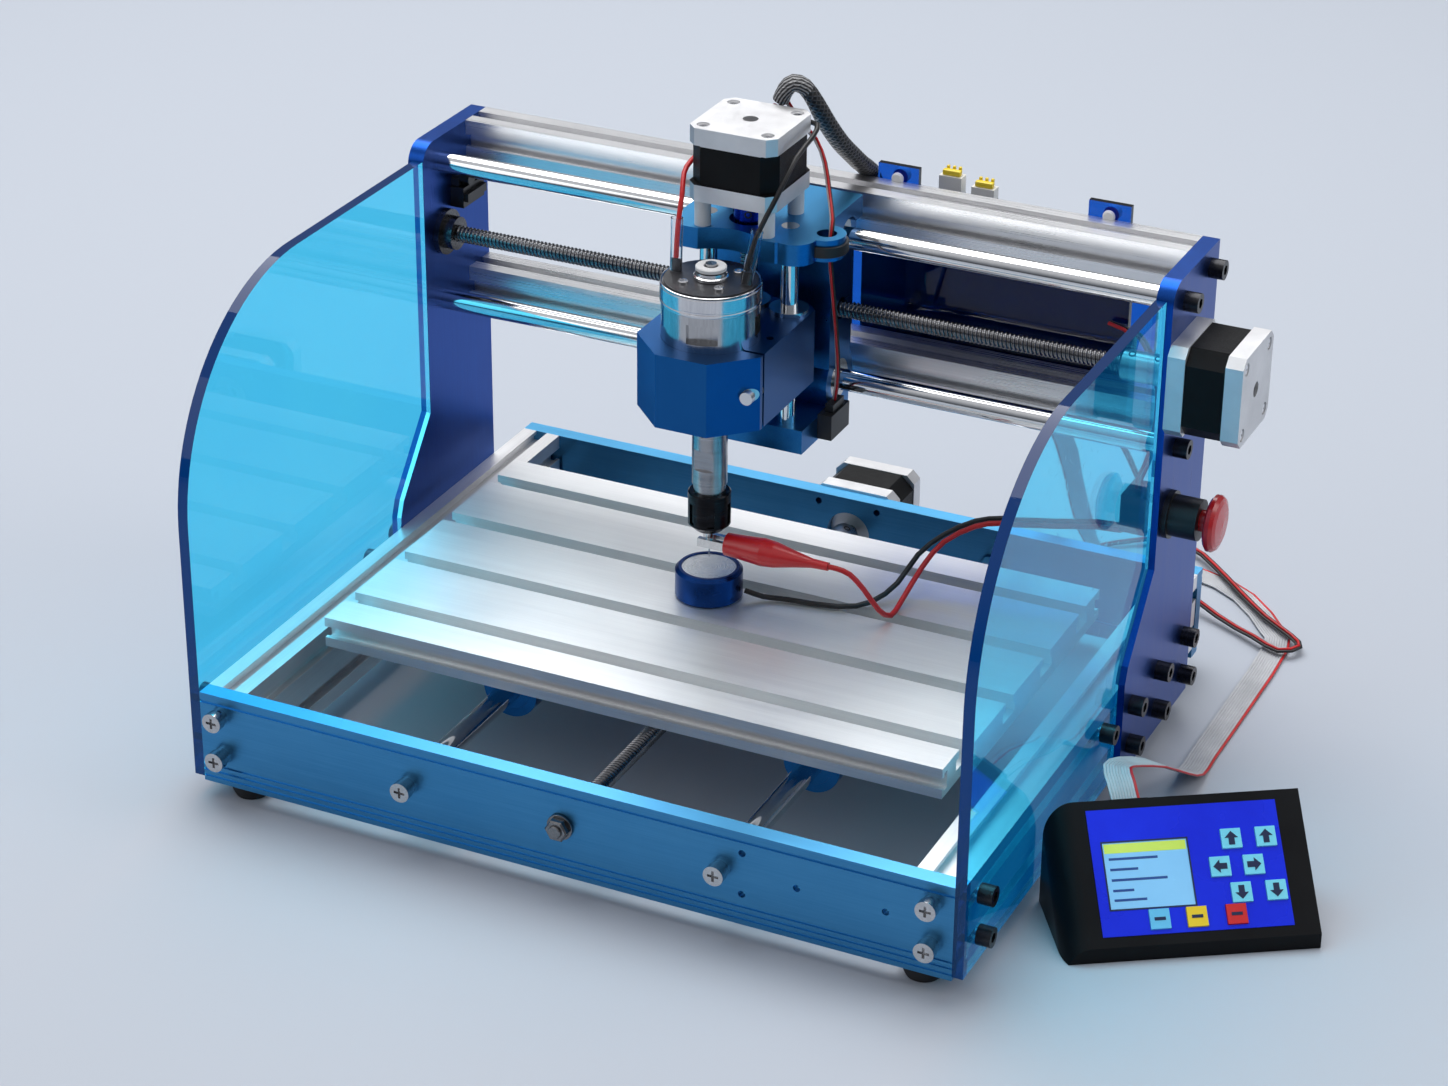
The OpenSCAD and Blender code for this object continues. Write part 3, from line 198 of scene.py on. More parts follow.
xc = -5  # the carriage's middle along X
cordRoutes = {
    "ribbon": [(215, -46, 41), (209, -38, 47), (203, -26, 47), (204, -12, 42), (209, 8, 32), (212, 32, 16),
               (212, 55, 3), (211, 75, 1), (211, 130, 1), (210, 187, 1), (203, 203, 1), (180, 230, 1),
               (150, 244, 1), (115, 238, 1), (100, 225, 10), (95, 208, 45), (91, 196, 80), (90, 165, 118),
               (90, 139, 134), (90, 131, 145)],
    "motor": [(21.5, 165, 36), (30, 168, 34), (42, 178, 18), (62, 205, 4), (86, 240, 2), (112, 264, 3),
              (138, 266, 3.6), (158, 250, 3.8), (178, 229, 3.8), (197, 210, 3.8), (214, 197, 3.8),
              (221, 188, 3.8), (213, 180, 3.8), (198, 188, 3.8), (176, 200, 4), (148, 212, 14),
              (132, 208, 50), (124, 192, 84), (121, 160, 120), (120, 131, 145)],
    "clip": [(54.3, 0, 97), (58, 0, 97), (64, 1, 95), (70, 3, 88), (76, 7, 77), (79, 14, 71.5), (79, 26, 73),
             (81, 45, 82), (86, 58, 90), (98, 66, 97), (110, 69, 100), (130, 75, 101), (148, 79, 103),
             (160, 77, 105), (167.5, 72, 112.6)],
    "probe": [(11.8, 2.5, 74), (20, 5, 71.5), (30, 8, 71), (54, 12, 71), (66, 22, 71.5), (72, 38, 75),
              (76, 52, 84), (84, 63, 91), (96, 71, 97), (109, 74, 100), (129, 80, 101), (147, 84, 103),
              (161, 82, 105), (172, 73, 112.6)],
    "redWire": [(xc - 17, 0, 232), (xc - 17, 2, 247), (xc - 18.5, 9, 258), (xc - 22, 18, 264),
                (xc - 23.5, 28, 266), (xc - 23.5, 45, 268), (xc - 22.5, 60.5, 270), (xc - 15, 64, 271),
                (xc - 7, 63.5, 273), (xc - 1.5, 63, 279), (xc + 1, 63, 284.6)],
    "blackWire": [(xc + 17, 0, 232), (xc + 19, 5, 246), (xc + 24, 15, 262), (xc + 26, 30, 275),
                  (xc + 25, 50, 278), (xc + 22.5, 60, 280), (xc + 14, 63, 279), (xc + 7, 64.5, 277),
                  (xc + 3, 66, 279), (xc + 2, 66.5, 284.8)],
    "switch": [(xc + 3, 70, 284.8), (xc + 9, 70, 277), (xc + 18, 69.5, 269), (xc + 25, 64, 261),
               (xc + 32, 54, 250), (xc + 38.5, 42.5, 244), (xc + 39.5, 38.5, 236), (xc + 40, 38, 225),
               (xc + 41, 44, 190), (xc + 38, 54, 165), (xc + 35, 58, 150.4)],
    "sleeve": [(xc + 2, 66.5, 286), (xc + 4, 67, 291), (2, 68.5, 294), (6.5, 71, 292), (10.5, 74.5, 284),
               (13, 80, 274), (15.5, 90, 261.5), (17, 100, 252.5), (18, 109, 245), (18, 118, 239),
               (17.5, 125, 231.6)],
    "stop": [(170, 68, 132.3), (170, 69, 137), (170, 82, 144), (170, 89, 165), (164, 96, 180),
             (152, 110, 186), (140, 113.6, 188)],
}
# name, route, node it stands for, body, width, steps, stiffness, lay, slot and strands; each strand is
# its width, height, sides, offset across and up, and material index
cordPieces = [
    ("pendantRibbon", "ribbon", "pendant_ribbon", "frame", 12.7, 2, "limp", "loose", "ribbon_grey",
     [(1.32, 1.05, 6, (x * 1.27, 0), 1 if x == 4.5 else 0) for x in [i - 4.5 for i in range(10)]]),
    ("motorLead", "motor", "motor_lead", "frame", 4, 2, "limp", "loose", "lead_black",
     [(1.45, 1.45, 8, (-1.2, 0), 0), (1.45, 1.45, 8, (0, 0.7), 1), (1.45, 1.45, 8, (1.2, 0), 0)]),
    ("clipLead", "clip", "clip_lead", "frame", 2.6, 2, "limp", "loose", "lead_red",
     [(2.5, 2.5, 12, (0, 0), 1)]),
    ("clipLeadTail", "clip", None, "frame", 2.6, 2, "limp", "loose", "lead_red", [(2.5, 2.5, 12, (0, 0), 1)]),
    ("probeLead", "probe", "probe_lead", "frame", 2.6, 2, "limp", "loose", "lead_black",
     [(2.5, 2.5, 12, (0, 0), 0)]),
    ("spindleRedWire", "redWire", None, "frame", 2.4, 2, "limp", "loose", "lead_red",
     [(2.3, 2.3, 12, (0, 0), 1)]),
    ("spindleBlackWire", "blackWire", "spindle_wires", "frame", 2.4, 2, "limp", "loose", "lead_black",
     [(2.3, 2.3, 12, (0, 0), 0)]),
    ("switchWires", "switch", "switch_wires", "x_carriage", 2.4, 2, "limp", "hanging", "lead_black",
     [(1.15, 1.15, 8, (-0.6, -0.3), 0), (1.15, 1.15, 8, (0.6, -0.3), 2), (1.15, 1.15, 8, (0, 0.6), 1)]),
    ("cableSleeve", "sleeve", "cable_sleeve", "frame", 11, 2, "medium", "hanging", "sleeve_grey",
     [(10.8, 7.6, 32, (0, 0), 3)]),
    ("stopHarness", "stop", "stop_harness", "frame", 3.6, 3, "limp", "hanging", "lead_black",
     [(1.7, 1.7, 8, (-0.9, 0), 0), (1.7, 1.7, 8, (0.9, 0), 1)]),
]
cordObjects = {}
# cords that cross a joint: the bodies at their two ends, and where the bend starts and stops
cordBends = {
    "pendantRibbon": ("pendant", "frame", (213, -40, 44), (211, 75, 1)),
    "clipLead": ("spindle", "x_carriage", (60, 0, 96), (81, 45, 82)),
    "clipLeadTail": ("x_carriage", "frame", (84, 52, 86), (163, 75, 106)),
    "probeLead": ("bed_assembly", "frame", (30, 8, 71), (97, 71, 97)),
    "spindleRedWire": ("spindle", "x_carriage", (-22, 3, 249), (-20, 64, 271)),
    "spindleBlackWire": ("spindle", "x_carriage", (15, 6, 248), (9, 63, 279)),
    "cableSleeve": ("x_carriage", "frame", (2, 68.5, 292), (17.5, 121, 236)),
}
# the clip lead crosses two joints, so it is made as two pieces that meet at this share of its route
cordSpans = {"clipLead": (0, 0.5), "clipLeadTail": (0.5, 1)}


def addCords():
    for name, route, node, body, width, steps, stiffness, lay, slot, strands in cordPieces:
        path = smoothRoute(cordRoutes[route], steps)
        frames = routeFrames(path)
        first, last = (round(share * (len(path) - 1)) for share in cordSpans.get(name, (0, 1)))
        path, frames = path[first:last + 1], frames[first:last + 1]
        bm = bmesh.new()
        for w, h, sides, offset, material in strands:
            addStrand(bm, frames, w, h, sides, offset, material)
        bend = cordBends.get(name)
        piece = pieceFrom(name, bm, None if bend else body, smooth=60)
        if bend:
            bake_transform(piece)
        if node:
            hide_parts(node)
        cordObjects[name] = piece


addCords()
print("cords laid:", len(cordObjects))

# light and floor
studio = {
    "topSize": 2.2, "topPower": 56, "topPlace": (-0.6, 0.75, 2.1),
    "fillSize": 1.4, "fillPower": 7, "fillPlace": (-1.6, -1.5, 1.1),
    "rimSize": 1.0, "rimPower": 8, "rimPlace": (1.7, 0.6, 1.2),
    "target": (0, 0, 0.1),
    "floor": (0.44, 0.474, 0.53),
    "fillColour": (0.97, 0.98, 1), "rimColour": (1, 1, 1), "topColour": (1, 1, 1),
    "sky": ((0.0, (0.07, 0.075, 0.085)), (0.28, (0.34, 0.36, 0.4)), (0.75, (0.95, 0.96, 1))),
    "skyStrength": 0.62,
    "floorSize": 6, "floorDrop": 0.0002,
}


def addLight(which):
    data = bpy.data.lights.new(which + "Light", "AREA")
    data.shape, data.size, data.energy = "SQUARE", studio[which + "Size"], studio[which + "Power"]
    data.color = studio[which + "Colour"]
    lamp = bpy.data.objects.new(which + "Light", data)
    scene.collection.objects.link(lamp)
    lamp.location = studio[which + "Place"]
    aim = Vector(studio["target"]) - lamp.location
    lamp.rotation_euler = aim.to_track_quat("-Z", "Y").to_euler()


def addWorld():
    world = bpy.data.worlds.new("studioSky")
    scene.world = world
    world.use_nodes = True
    tree = world.node_tree
    sky = tree.nodes["Background"]
    coords = tree.nodes.new("ShaderNodeTexCoord")
    split = tree.nodes.new("ShaderNodeSeparateXYZ")
    ramp = tree.nodes.new("ShaderNodeValToRGB")
    stops = ramp.color_ramp.elements
    stops.new(0.5)
    for stop, (position, colour) in zip(stops, studio["sky"]):
        stop.position, stop.color = position, (*colour, 1)
    tree.links.new(coords.outputs["Generated"], split.inputs[0])
    tree.links.new(split.outputs["Z"], ramp.inputs["Fac"])
    tree.links.new(ramp.outputs["Color"], sky.inputs["Color"])
    sky.inputs["Strength"].default_value = studio["skyStrength"]


addWorld()
for which in ("top", "fill", "rim"):
    addLight(which)
scene.view_settings.view_transform = "Standard"
scene.view_settings.look = "None"
print("lights set")


# node groups, each built once
def newGroup(name, inputs, outputs):
    group = bpy.data.node_groups.new(name, "ShaderNodeTree")
    for label, kind, value in inputs:
        socket = group.interface.new_socket(name=label, in_out="INPUT", socket_type=kind)
        if value is not None:
            socket.default_value = value
    for label, kind in outputs:
        group.interface.new_socket(name=label, in_out="OUTPUT", socket_type=kind)
    return group, group.nodes.new("NodeGroupInput"), group.nodes.new("NodeGroupOutput")


def mathNode(tree, operation, a, b=None, clamp=False):
    node = tree.nodes.new("ShaderNodeMath")
    node.operation, node.use_clamp = operation, clamp
    for socket, value in zip(node.inputs, (a, b)):
        if value is None:
            continue
        if isinstance(value, (int, float)):
            socket.default_value = value
        else:
            tree.links.new(value, socket)
    return node.outputs[0]


def noiseNode(tree, vector, scale, detail=3, roughness=0.6):
    node = tree.nodes.new("ShaderNodeTexNoise")
    node.inputs["Detail"].default_value, node.inputs["Roughness"].default_value = detail, roughness
    tree.links.new(vector, node.inputs["Vector"])
    if isinstance(scale, (int, float)):
        node.inputs["Scale"].default_value = scale
    else:
        tree.links.new(scale, node.inputs["Scale"])
    return node.outputs["Fac"]


def spreadNode(tree, value, low, high, toLow=0.0, toHigh=1.0):
    node = tree.nodes.new("ShaderNodeMapRange")
    node.inputs["From Min"].default_value, node.inputs["From Max"].default_value = low, high
    node.inputs["To Min"].default_value, node.inputs["To Max"].default_value = toLow, toHigh
    tree.links.new(value, node.inputs["Value"])
    return node.outputs["Result"]


def weighted(tree, a, shareA, b, shareB):
    return mathNode(tree, "ADD", mathNode(tree, "MULTIPLY", a, shareA), mathNode(tree, "MULTIPLY", b, shareB))


def axesOf(tree, vector):
    split = tree.nodes.new("ShaderNodeSeparateXYZ")
    tree.links.new(vector, split.inputs[0])
    return split.outputs


def objectNormal(tree):
    return axesOf(tree, tree.nodes.new("ShaderNodeTexCoord").outputs["Normal"])


def cordRun(tree):
    run = tree.nodes.new("ShaderNodeAttribute")
    run.attribute_name = "run"
    return axesOf(tree, run.outputs["Vector"])


def makeBrushedGrain():
    # fine streaks: the vector comes in already stretched along the grain
    group, into, out = newGroup(
        "brushedGrain", [("Vector", "NodeSocketVector", None), ("Fineness", "NodeSocketFloat", 1.0)],
        [("Streaks", "NodeSocketFloat"), ("Height", "NodeSocketFloat")],
    )
    vector, fineness = into.outputs["Vector"], into.outputs["Fineness"]
    fine = noiseNode(group, vector, fineness, 4, 0.7)
    broad = noiseNode(group, vector, mathNode(group, "MULTIPLY", fineness, 0.13), 2)
    both = weighted(group, fine, 0.65, broad, 0.35)
    group.links.new(spreadNode(group, both, 0.34, 0.66), out.inputs["Streaks"])
    group.links.new(fine, out.inputs["Height"])
    return group


def makeHandled():
    # cloudy patches left by handling, and small dust specks
    group, into, out = newGroup(
        "handledSurface", [("Vector", "NodeSocketVector", None), ("Scale", "NodeSocketFloat", 20.0)],
        [("Patches", "NodeSocketFloat"), ("Specks", "NodeSocketFloat")],
    )
    vector, size = into.outputs["Vector"], into.outputs["Scale"]
    cloud = noiseNode(group, vector, size, 4, 0.55)
    dots = noiseNode(group, vector, mathNode(group, "MULTIPLY", size, 34), 1, 0.4)
    group.links.new(spreadNode(group, cloud, 0.32, 0.68), out.inputs["Patches"])
    group.links.new(spreadNode(group, dots, 0.68, 0.76), out.inputs["Specks"])
    return group


def makeBand():
    # 1 between two places along a coordinate
    group, into, out = newGroup(
        "bandAlong", [(label, "NodeSocketFloat", 0) for label in ("Place", "From", "To")],
        [("Inside", "NodeSocketFloat")],
    )
    above = mathNode(group, "GREATER_THAN", into.outputs["Place"], into.outputs["From"])
    below = mathNode(group, "LESS_THAN", into.outputs["Place"], into.outputs["To"])
    group.links.new(mathNode(group, "MULTIPLY", above, below), out.inputs["Inside"])
    return group


grainGroup, handledGroup, bandGroup = makeBrushedGrain(), makeHandled(), makeBand()


def useGroup(tree, group, **values):
    node = tree.nodes.new("ShaderNodeGroup")
    node.node_tree = group
    for label, value in values.items():
        if isinstance(value, (int, float)):
            node.inputs[label].default_value = value
        else:
            tree.links.new(value, node.inputs[label])
    return node.outputs


def colourMix(tree, factor, a, b):
    node = tree.nodes.new("ShaderNodeMix")
    node.data_type = "RGBA"
    tree.links.new(factor, node.inputs["Factor"])
    for socket, value in ((node.inputs[6], a), (node.inputs[7], b)):
        if isinstance(value, tuple):
            socket.default_value = (*value, 1)
        else:
            tree.links.new(value, socket)
    return node.outputs[2]


def bumpInto(tree, shader, height, strength, distance):
    bump = tree.nodes.new("ShaderNodeBump")
    bump.inputs["Strength"].default_value, bump.inputs["Distance"].default_value = strength, distance
    tree.links.new(height, bump.inputs["Height"])
    tree.links.new(bump.outputs["Normal"], shader.inputs["Normal"])


def startMaterial(name, metallic=0.0, specular=0.5, coat=0.0, coatRoughness=0.1):
    material = bpy.data.materials.new(name)
    material.use_nodes = True
    tree = material.node_tree
    shader = tree.nodes["Principled BSDF"]
    shader.inputs["Metallic"].default_value = metallic
    shader.inputs["Specular IOR Level"].default_value = specular
    shader.inputs["Coat Weight"].default_value = coat
    shader.inputs["Coat Roughness"].default_value = coatRoughness
    coords = tree.nodes.new("ShaderNodeTexCoord").outputs["Object"]
    return material, tree, shader, coords


def mapped(tree, coords, stretch=(1, 1, 1)):
    node = tree.nodes.new("ShaderNodeMapping")
    node.inputs["Scale"].default_value = stretch
    tree.links.new(coords, node.inputs["Vector"])
    return node.outputs["Vector"]


def grainMetal(name, colours, roughness, stretch=(1, 1, 1), fineness=900, metallic=1.0, bump=0.12, coat=0.0,
               specular=0.5, paintedTopHighlight=None):
    # brushed or satin metal, with two close colours that follow the grain and the handling, and an optional painted
    # highlight on upward faces
    material, tree, shader, coords = startMaterial(name, metallic, specular, coat)
    grain = useGroup(tree, grainGroup, Vector=mapped(tree, coords, stretch), Fineness=fineness)
    worn = useGroup(tree, handledGroup, Vector=coords, Scale=14)
    tone = weighted(tree, grain["Streaks"], 0.6, worn["Patches"], 0.4)
    colour = colourMix(tree, tone, *colours)
    if paintedTopHighlight:
        # painted highlight: upward-facing faces are mixed towards a lighter colour, standing in for the light that
        # falls on top
        colour = colourMix(tree, spreadNode(tree, objectNormal(tree)["Z"], 0.6, 0.9), colour, paintedTopHighlight)
    tree.links.new(colour, shader.inputs["Base Color"])
    tree.links.new(spreadNode(tree, tone, 0, 1, *roughness), shader.inputs["Roughness"])
    bumpInto(tree, shader, grain["Height"], bump, 0.0001)
    return material


def moulded(name, colours, roughness, bump=0.15, fineness=1800, coat=0.0, specular=0.5, emission=0.0):
    # moulded plastic or rubber with a fine spark-eroded skin
    material, tree, shader, coords = startMaterial(name, 0.0, specular, coat)
    grain = useGroup(tree, grainGroup, Vector=coords, Fineness=fineness)
    worn = useGroup(tree, handledGroup, Vector=coords, Scale=22)
    tone = weighted(tree, worn["Patches"], 0.8, worn["Specks"], 0.2)
    colour = colourMix(tree, tone, *colours)
    tree.links.new(colour, shader.inputs["Base Color"])
    tree.links.new(spreadNode(tree, worn["Patches"], 0, 1, *roughness), shader.inputs["Roughness"])
    bumpInto(tree, shader, grain["Height"], bump, 0.0001)
    # an optional glow: on the pendant's panel and keys it is painted light, as they are no lamp
    if emission:
        tree.links.new(colour, shader.inputs["Emission Color"])
        shader.inputs["Emission Strength"].default_value = emission
    return material


def motorMetal(name, axis, core):
    # cast end caps with a black laminated core between two places along the axis
    material, tree, shader, coords = startMaterial(name, 0.0, 0.15)
    place = axesOf(tree, coords)[axis]
    inside = useGroup(tree, bandGroup, Place=place, From=core[0] * mm, To=core[1] * mm)["Inside"]
    cast = useGroup(tree, grainGroup, Vector=coords, Fineness=1400)
    worn = useGroup(tree, handledGroup, Vector=coords, Scale=30)
    silver = colourMix(tree, worn["Patches"], (0.62, 0.62, 0.63), (0.78, 0.78, 0.79))
    black = colourMix(tree, worn["Patches"], (0.002, 0.002, 0.002), (0.006, 0.006, 0.007))
    tree.links.new(colourMix(tree, inside, silver, black), shader.inputs["Base Color"])
    tree.links.new(mathNode(tree, "SUBTRACT", 0.85, mathNode(tree, "MULTIPLY", inside, 0.85)),
                   shader.inputs["Metallic"])
    tree.links.new(spreadNode(tree, cast["Streaks"], 0, 1, 0.34, 0.5), shader.inputs["Roughness"])
    laminations = mathNode(tree, "PINGPONG", mathNode(tree, "MULTIPLY", place, 2000), 0.5)
    layered = mathNode(tree, "MULTIPLY", laminations, inside)
    bumpInto(tree, shader, mathNode(tree, "ADD", layered, mathNode(tree, "MULTIPLY", cast["Height"], 0.6)),
             0.35, 0.0002)
    return material


def radialParts(name, axis, centre, radius, inner, outer, roughness=(0.2, 0.34)):
    # two metals: one within a radius of a line along the axis, the other outside it
    material, tree, shader, coords = startMaterial(name, 1.0)
    centred = tree.nodes.new("ShaderNodeMapping")
    centred.inputs["Location"].default_value = tuple(-c * mm for c in centre)
    centred.inputs["Scale"].default_value = tuple(0 if n == axis else 1 for n in "XYZ")
    tree.links.new(coords, centred.inputs["Vector"])
    reach = tree.nodes.new("ShaderNodeVectorMath")
    reach.operation = "LENGTH"
    tree.links.new(centred.outputs["Vector"], reach.inputs[0])
    out = reach.outputs["Value"]
    inside = useGroup(tree, bandGroup, Place=out, From=-1.0, To=radius * mm)["Inside"]
    outward = tree.nodes.new("ShaderNodeCombineXYZ")
    tree.links.new(out, outward.inputs["X"])
    rings = noiseNode(tree, outward.outputs[0], 2600, 2)
    worn = useGroup(tree, handledGroup, Vector=coords, Scale=26)
    tone = weighted(tree, rings, 0.6, worn["Patches"], 0.4)
    tree.links.new(colourMix(tree, inside, colourMix(tree, tone, *outer), colourMix(tree, tone, *inner)),
                   shader.inputs["Base Color"])
    tree.links.new(spreadNode(tree, tone, 0, 1, *roughness), shader.inputs["Roughness"])
    bumpInto(tree, shader, rings, 0.25, 0.0001)
    return material


def boardMaterial():
    # green board with pale connectors above its top edge
    material, tree, shader, coords = startMaterial("boardGreen", 0.0, coat=0.3)
    above = useGroup(tree, bandGroup, Place=axesOf(tree, coords)["Z"], From=0.2305, To=0.26)["Inside"]
    worn = useGroup(tree, handledGroup, Vector=coords, Scale=60)
    green = colourMix(tree, worn["Patches"], (0.006, 0.05, 0.025), (0.012, 0.09, 0.045))
    tree.links.new(colourMix(tree, above, green, (0.78, 0.78, 0.74)), shader.inputs["Base Color"])
    tree.links.new(spreadNode(tree, worn["Patches"], 0, 1, 0.3, 0.5), shader.inputs["Roughness"])
    bumpInto(tree, shader, worn["Specks"], 0.2, 0.0001)
    return material


def acrylic(name, tint, edge, faceAxis, thin=1.0, paintedGlow=0.0):
    # tinted clear sheet: its cut edges gather the colour and look dark; an optional faint blue emission gives it a
    # painted glow
    material, tree, shader, coords = startMaterial(name, 0.0)
    facing = mathNode(tree, "GREATER_THAN", mathNode(tree, "ABSOLUTE", objectNormal(tree)[faceAxis]), 0.7)
    worn = useGroup(tree, handledGroup, Vector=coords, Scale=9)
    body = colourMix(tree, worn["Patches"], tint, tuple(min(1.0, c * 1.05 + 0.01) for c in tint))
    tree.links.new(colourMix(tree, facing, edge, body), shader.inputs["Base Color"])
    tree.links.new(spreadNode(tree, worn["Specks"], 0, 1, 0.015, 0.12), shader.inputs["Roughness"])
    shader.inputs["Transmission Weight"].default_value = 1.0
    shader.inputs["IOR"].default_value = 1.35
    # painted glow: a faint blue emission makes the sheet look lit, though it is no lamp
    shader.inputs["Emission Color"].default_value = (0.0, 0.35, 1.0, 1)
    shader.inputs["Emission Strength"].default_value = paintedGlow
    passing = tree.nodes.new("ShaderNodeBsdfTransparent")
    passing.inputs["Color"].default_value = (*(c ** thin for c in tint), 1)
    rays = tree.nodes.new("ShaderNodeLightPath")
    mix = tree.nodes.new("ShaderNodeMixShader")
    tree.links.new(rays.outputs["Is Shadow Ray"], mix.inputs[0])
    tree.links.new(shader.outputs[0], mix.inputs[1])
    tree.links.new(passing.outputs[0], mix.inputs[2])
    tree.links.new(mix.outputs[0], tree.nodes["Material Output"].inputs["Surface"])
    return material


def cordSkin(name, colours, roughness=(0.3, 0.45)):
    # an insulated wire's skin, dulled in patches by handling
    material, tree, shader, coords = startMaterial(name, 0.0, 0.4)
    worn = useGroup(tree, handledGroup, Vector=coords, Scale=60)
    tree.links.new(colourMix(tree, worn["Patches"], *colours), shader.inputs["Base Color"])
    tree.links.new(spreadNode(tree, worn["Patches"], 0, 1, *roughness), shader.inputs["Roughness"])
    bumpInto(tree, shader, worn["Patches"], 0.1, 0.0001)
    return material


def braidSkin(name):
    # expanding braid: two sets of flat strands that cross over each other
    material, tree, shader, coords = startMaterial(name, 0.0, 0.5)
    run = cordRun(tree)
    angle = mathNode(tree, "MULTIPLY", mathNode(tree, "ARCTAN2", run["X"], run["Z"]), 8)
    travel = mathNode(tree, "MULTIPLY", run["Y"], 2400)
    one = mathNode(tree, "SINE", mathNode(tree, "ADD", travel, angle))
    two = mathNode(tree, "SINE", mathNode(tree, "SUBTRACT", travel, angle))
    weave = mathNode(tree, "MAXIMUM", one, two)
    lit = spreadNode(tree, weave, 0.2, 1.0)
    braid = colourMix(tree, lit, (0.003, 0.003, 0.004), (0.045, 0.045, 0.05))
    # at its mouth the braid opens out over the grey leads inside
    mouth = useGroup(tree, bandGroup, Place=run["Y"], From=-1.0, To=0.017)["Inside"]
    leads = spreadNode(tree, mathNode(tree, "SINE", mathNode(tree, "MULTIPLY", angle, 2)), -0.3, 0.7)
    openEnd = colourMix(tree, leads, (0.01, 0.01, 0.012), (0.3, 0.3, 0.31))
    tree.links.new(colourMix(tree, mouth, braid, openEnd), shader.inputs["Base Color"])
    tree.links.new(spreadNode(tree, weave, -1, 1, 0.7, 0.34), shader.inputs["Roughness"])
    bumpInto(tree, shader, lit, 0.8, 0.0006)
    return material


def floorMaterial():
    material, tree, shader, coords = startMaterial("studioFloor", 0.0, 0.25)
    cloud = noiseNode(tree, coords, 1.2, 2, 0.5)
    base = studio["floor"]
    tree.links.new(colourMix(tree, cloud, tuple(c * 0.985 for c in base), base), shader.inputs["Base Color"])
    shader.inputs["Roughness"].default_value = 0.6
    return material


def addFloor():
    bm = bmesh.new()
    bmesh.ops.create_grid(bm, x_segments=2, y_segments=2, size=studio["floorSize"])
    bmesh.ops.translate(bm, vec=(0, 0, -studio["floorDrop"]), verts=bm.verts[:])
    floor = pieceFrom("studioFloor", bm, smooth=0, materials=[floorMaterial()])


addFloor()

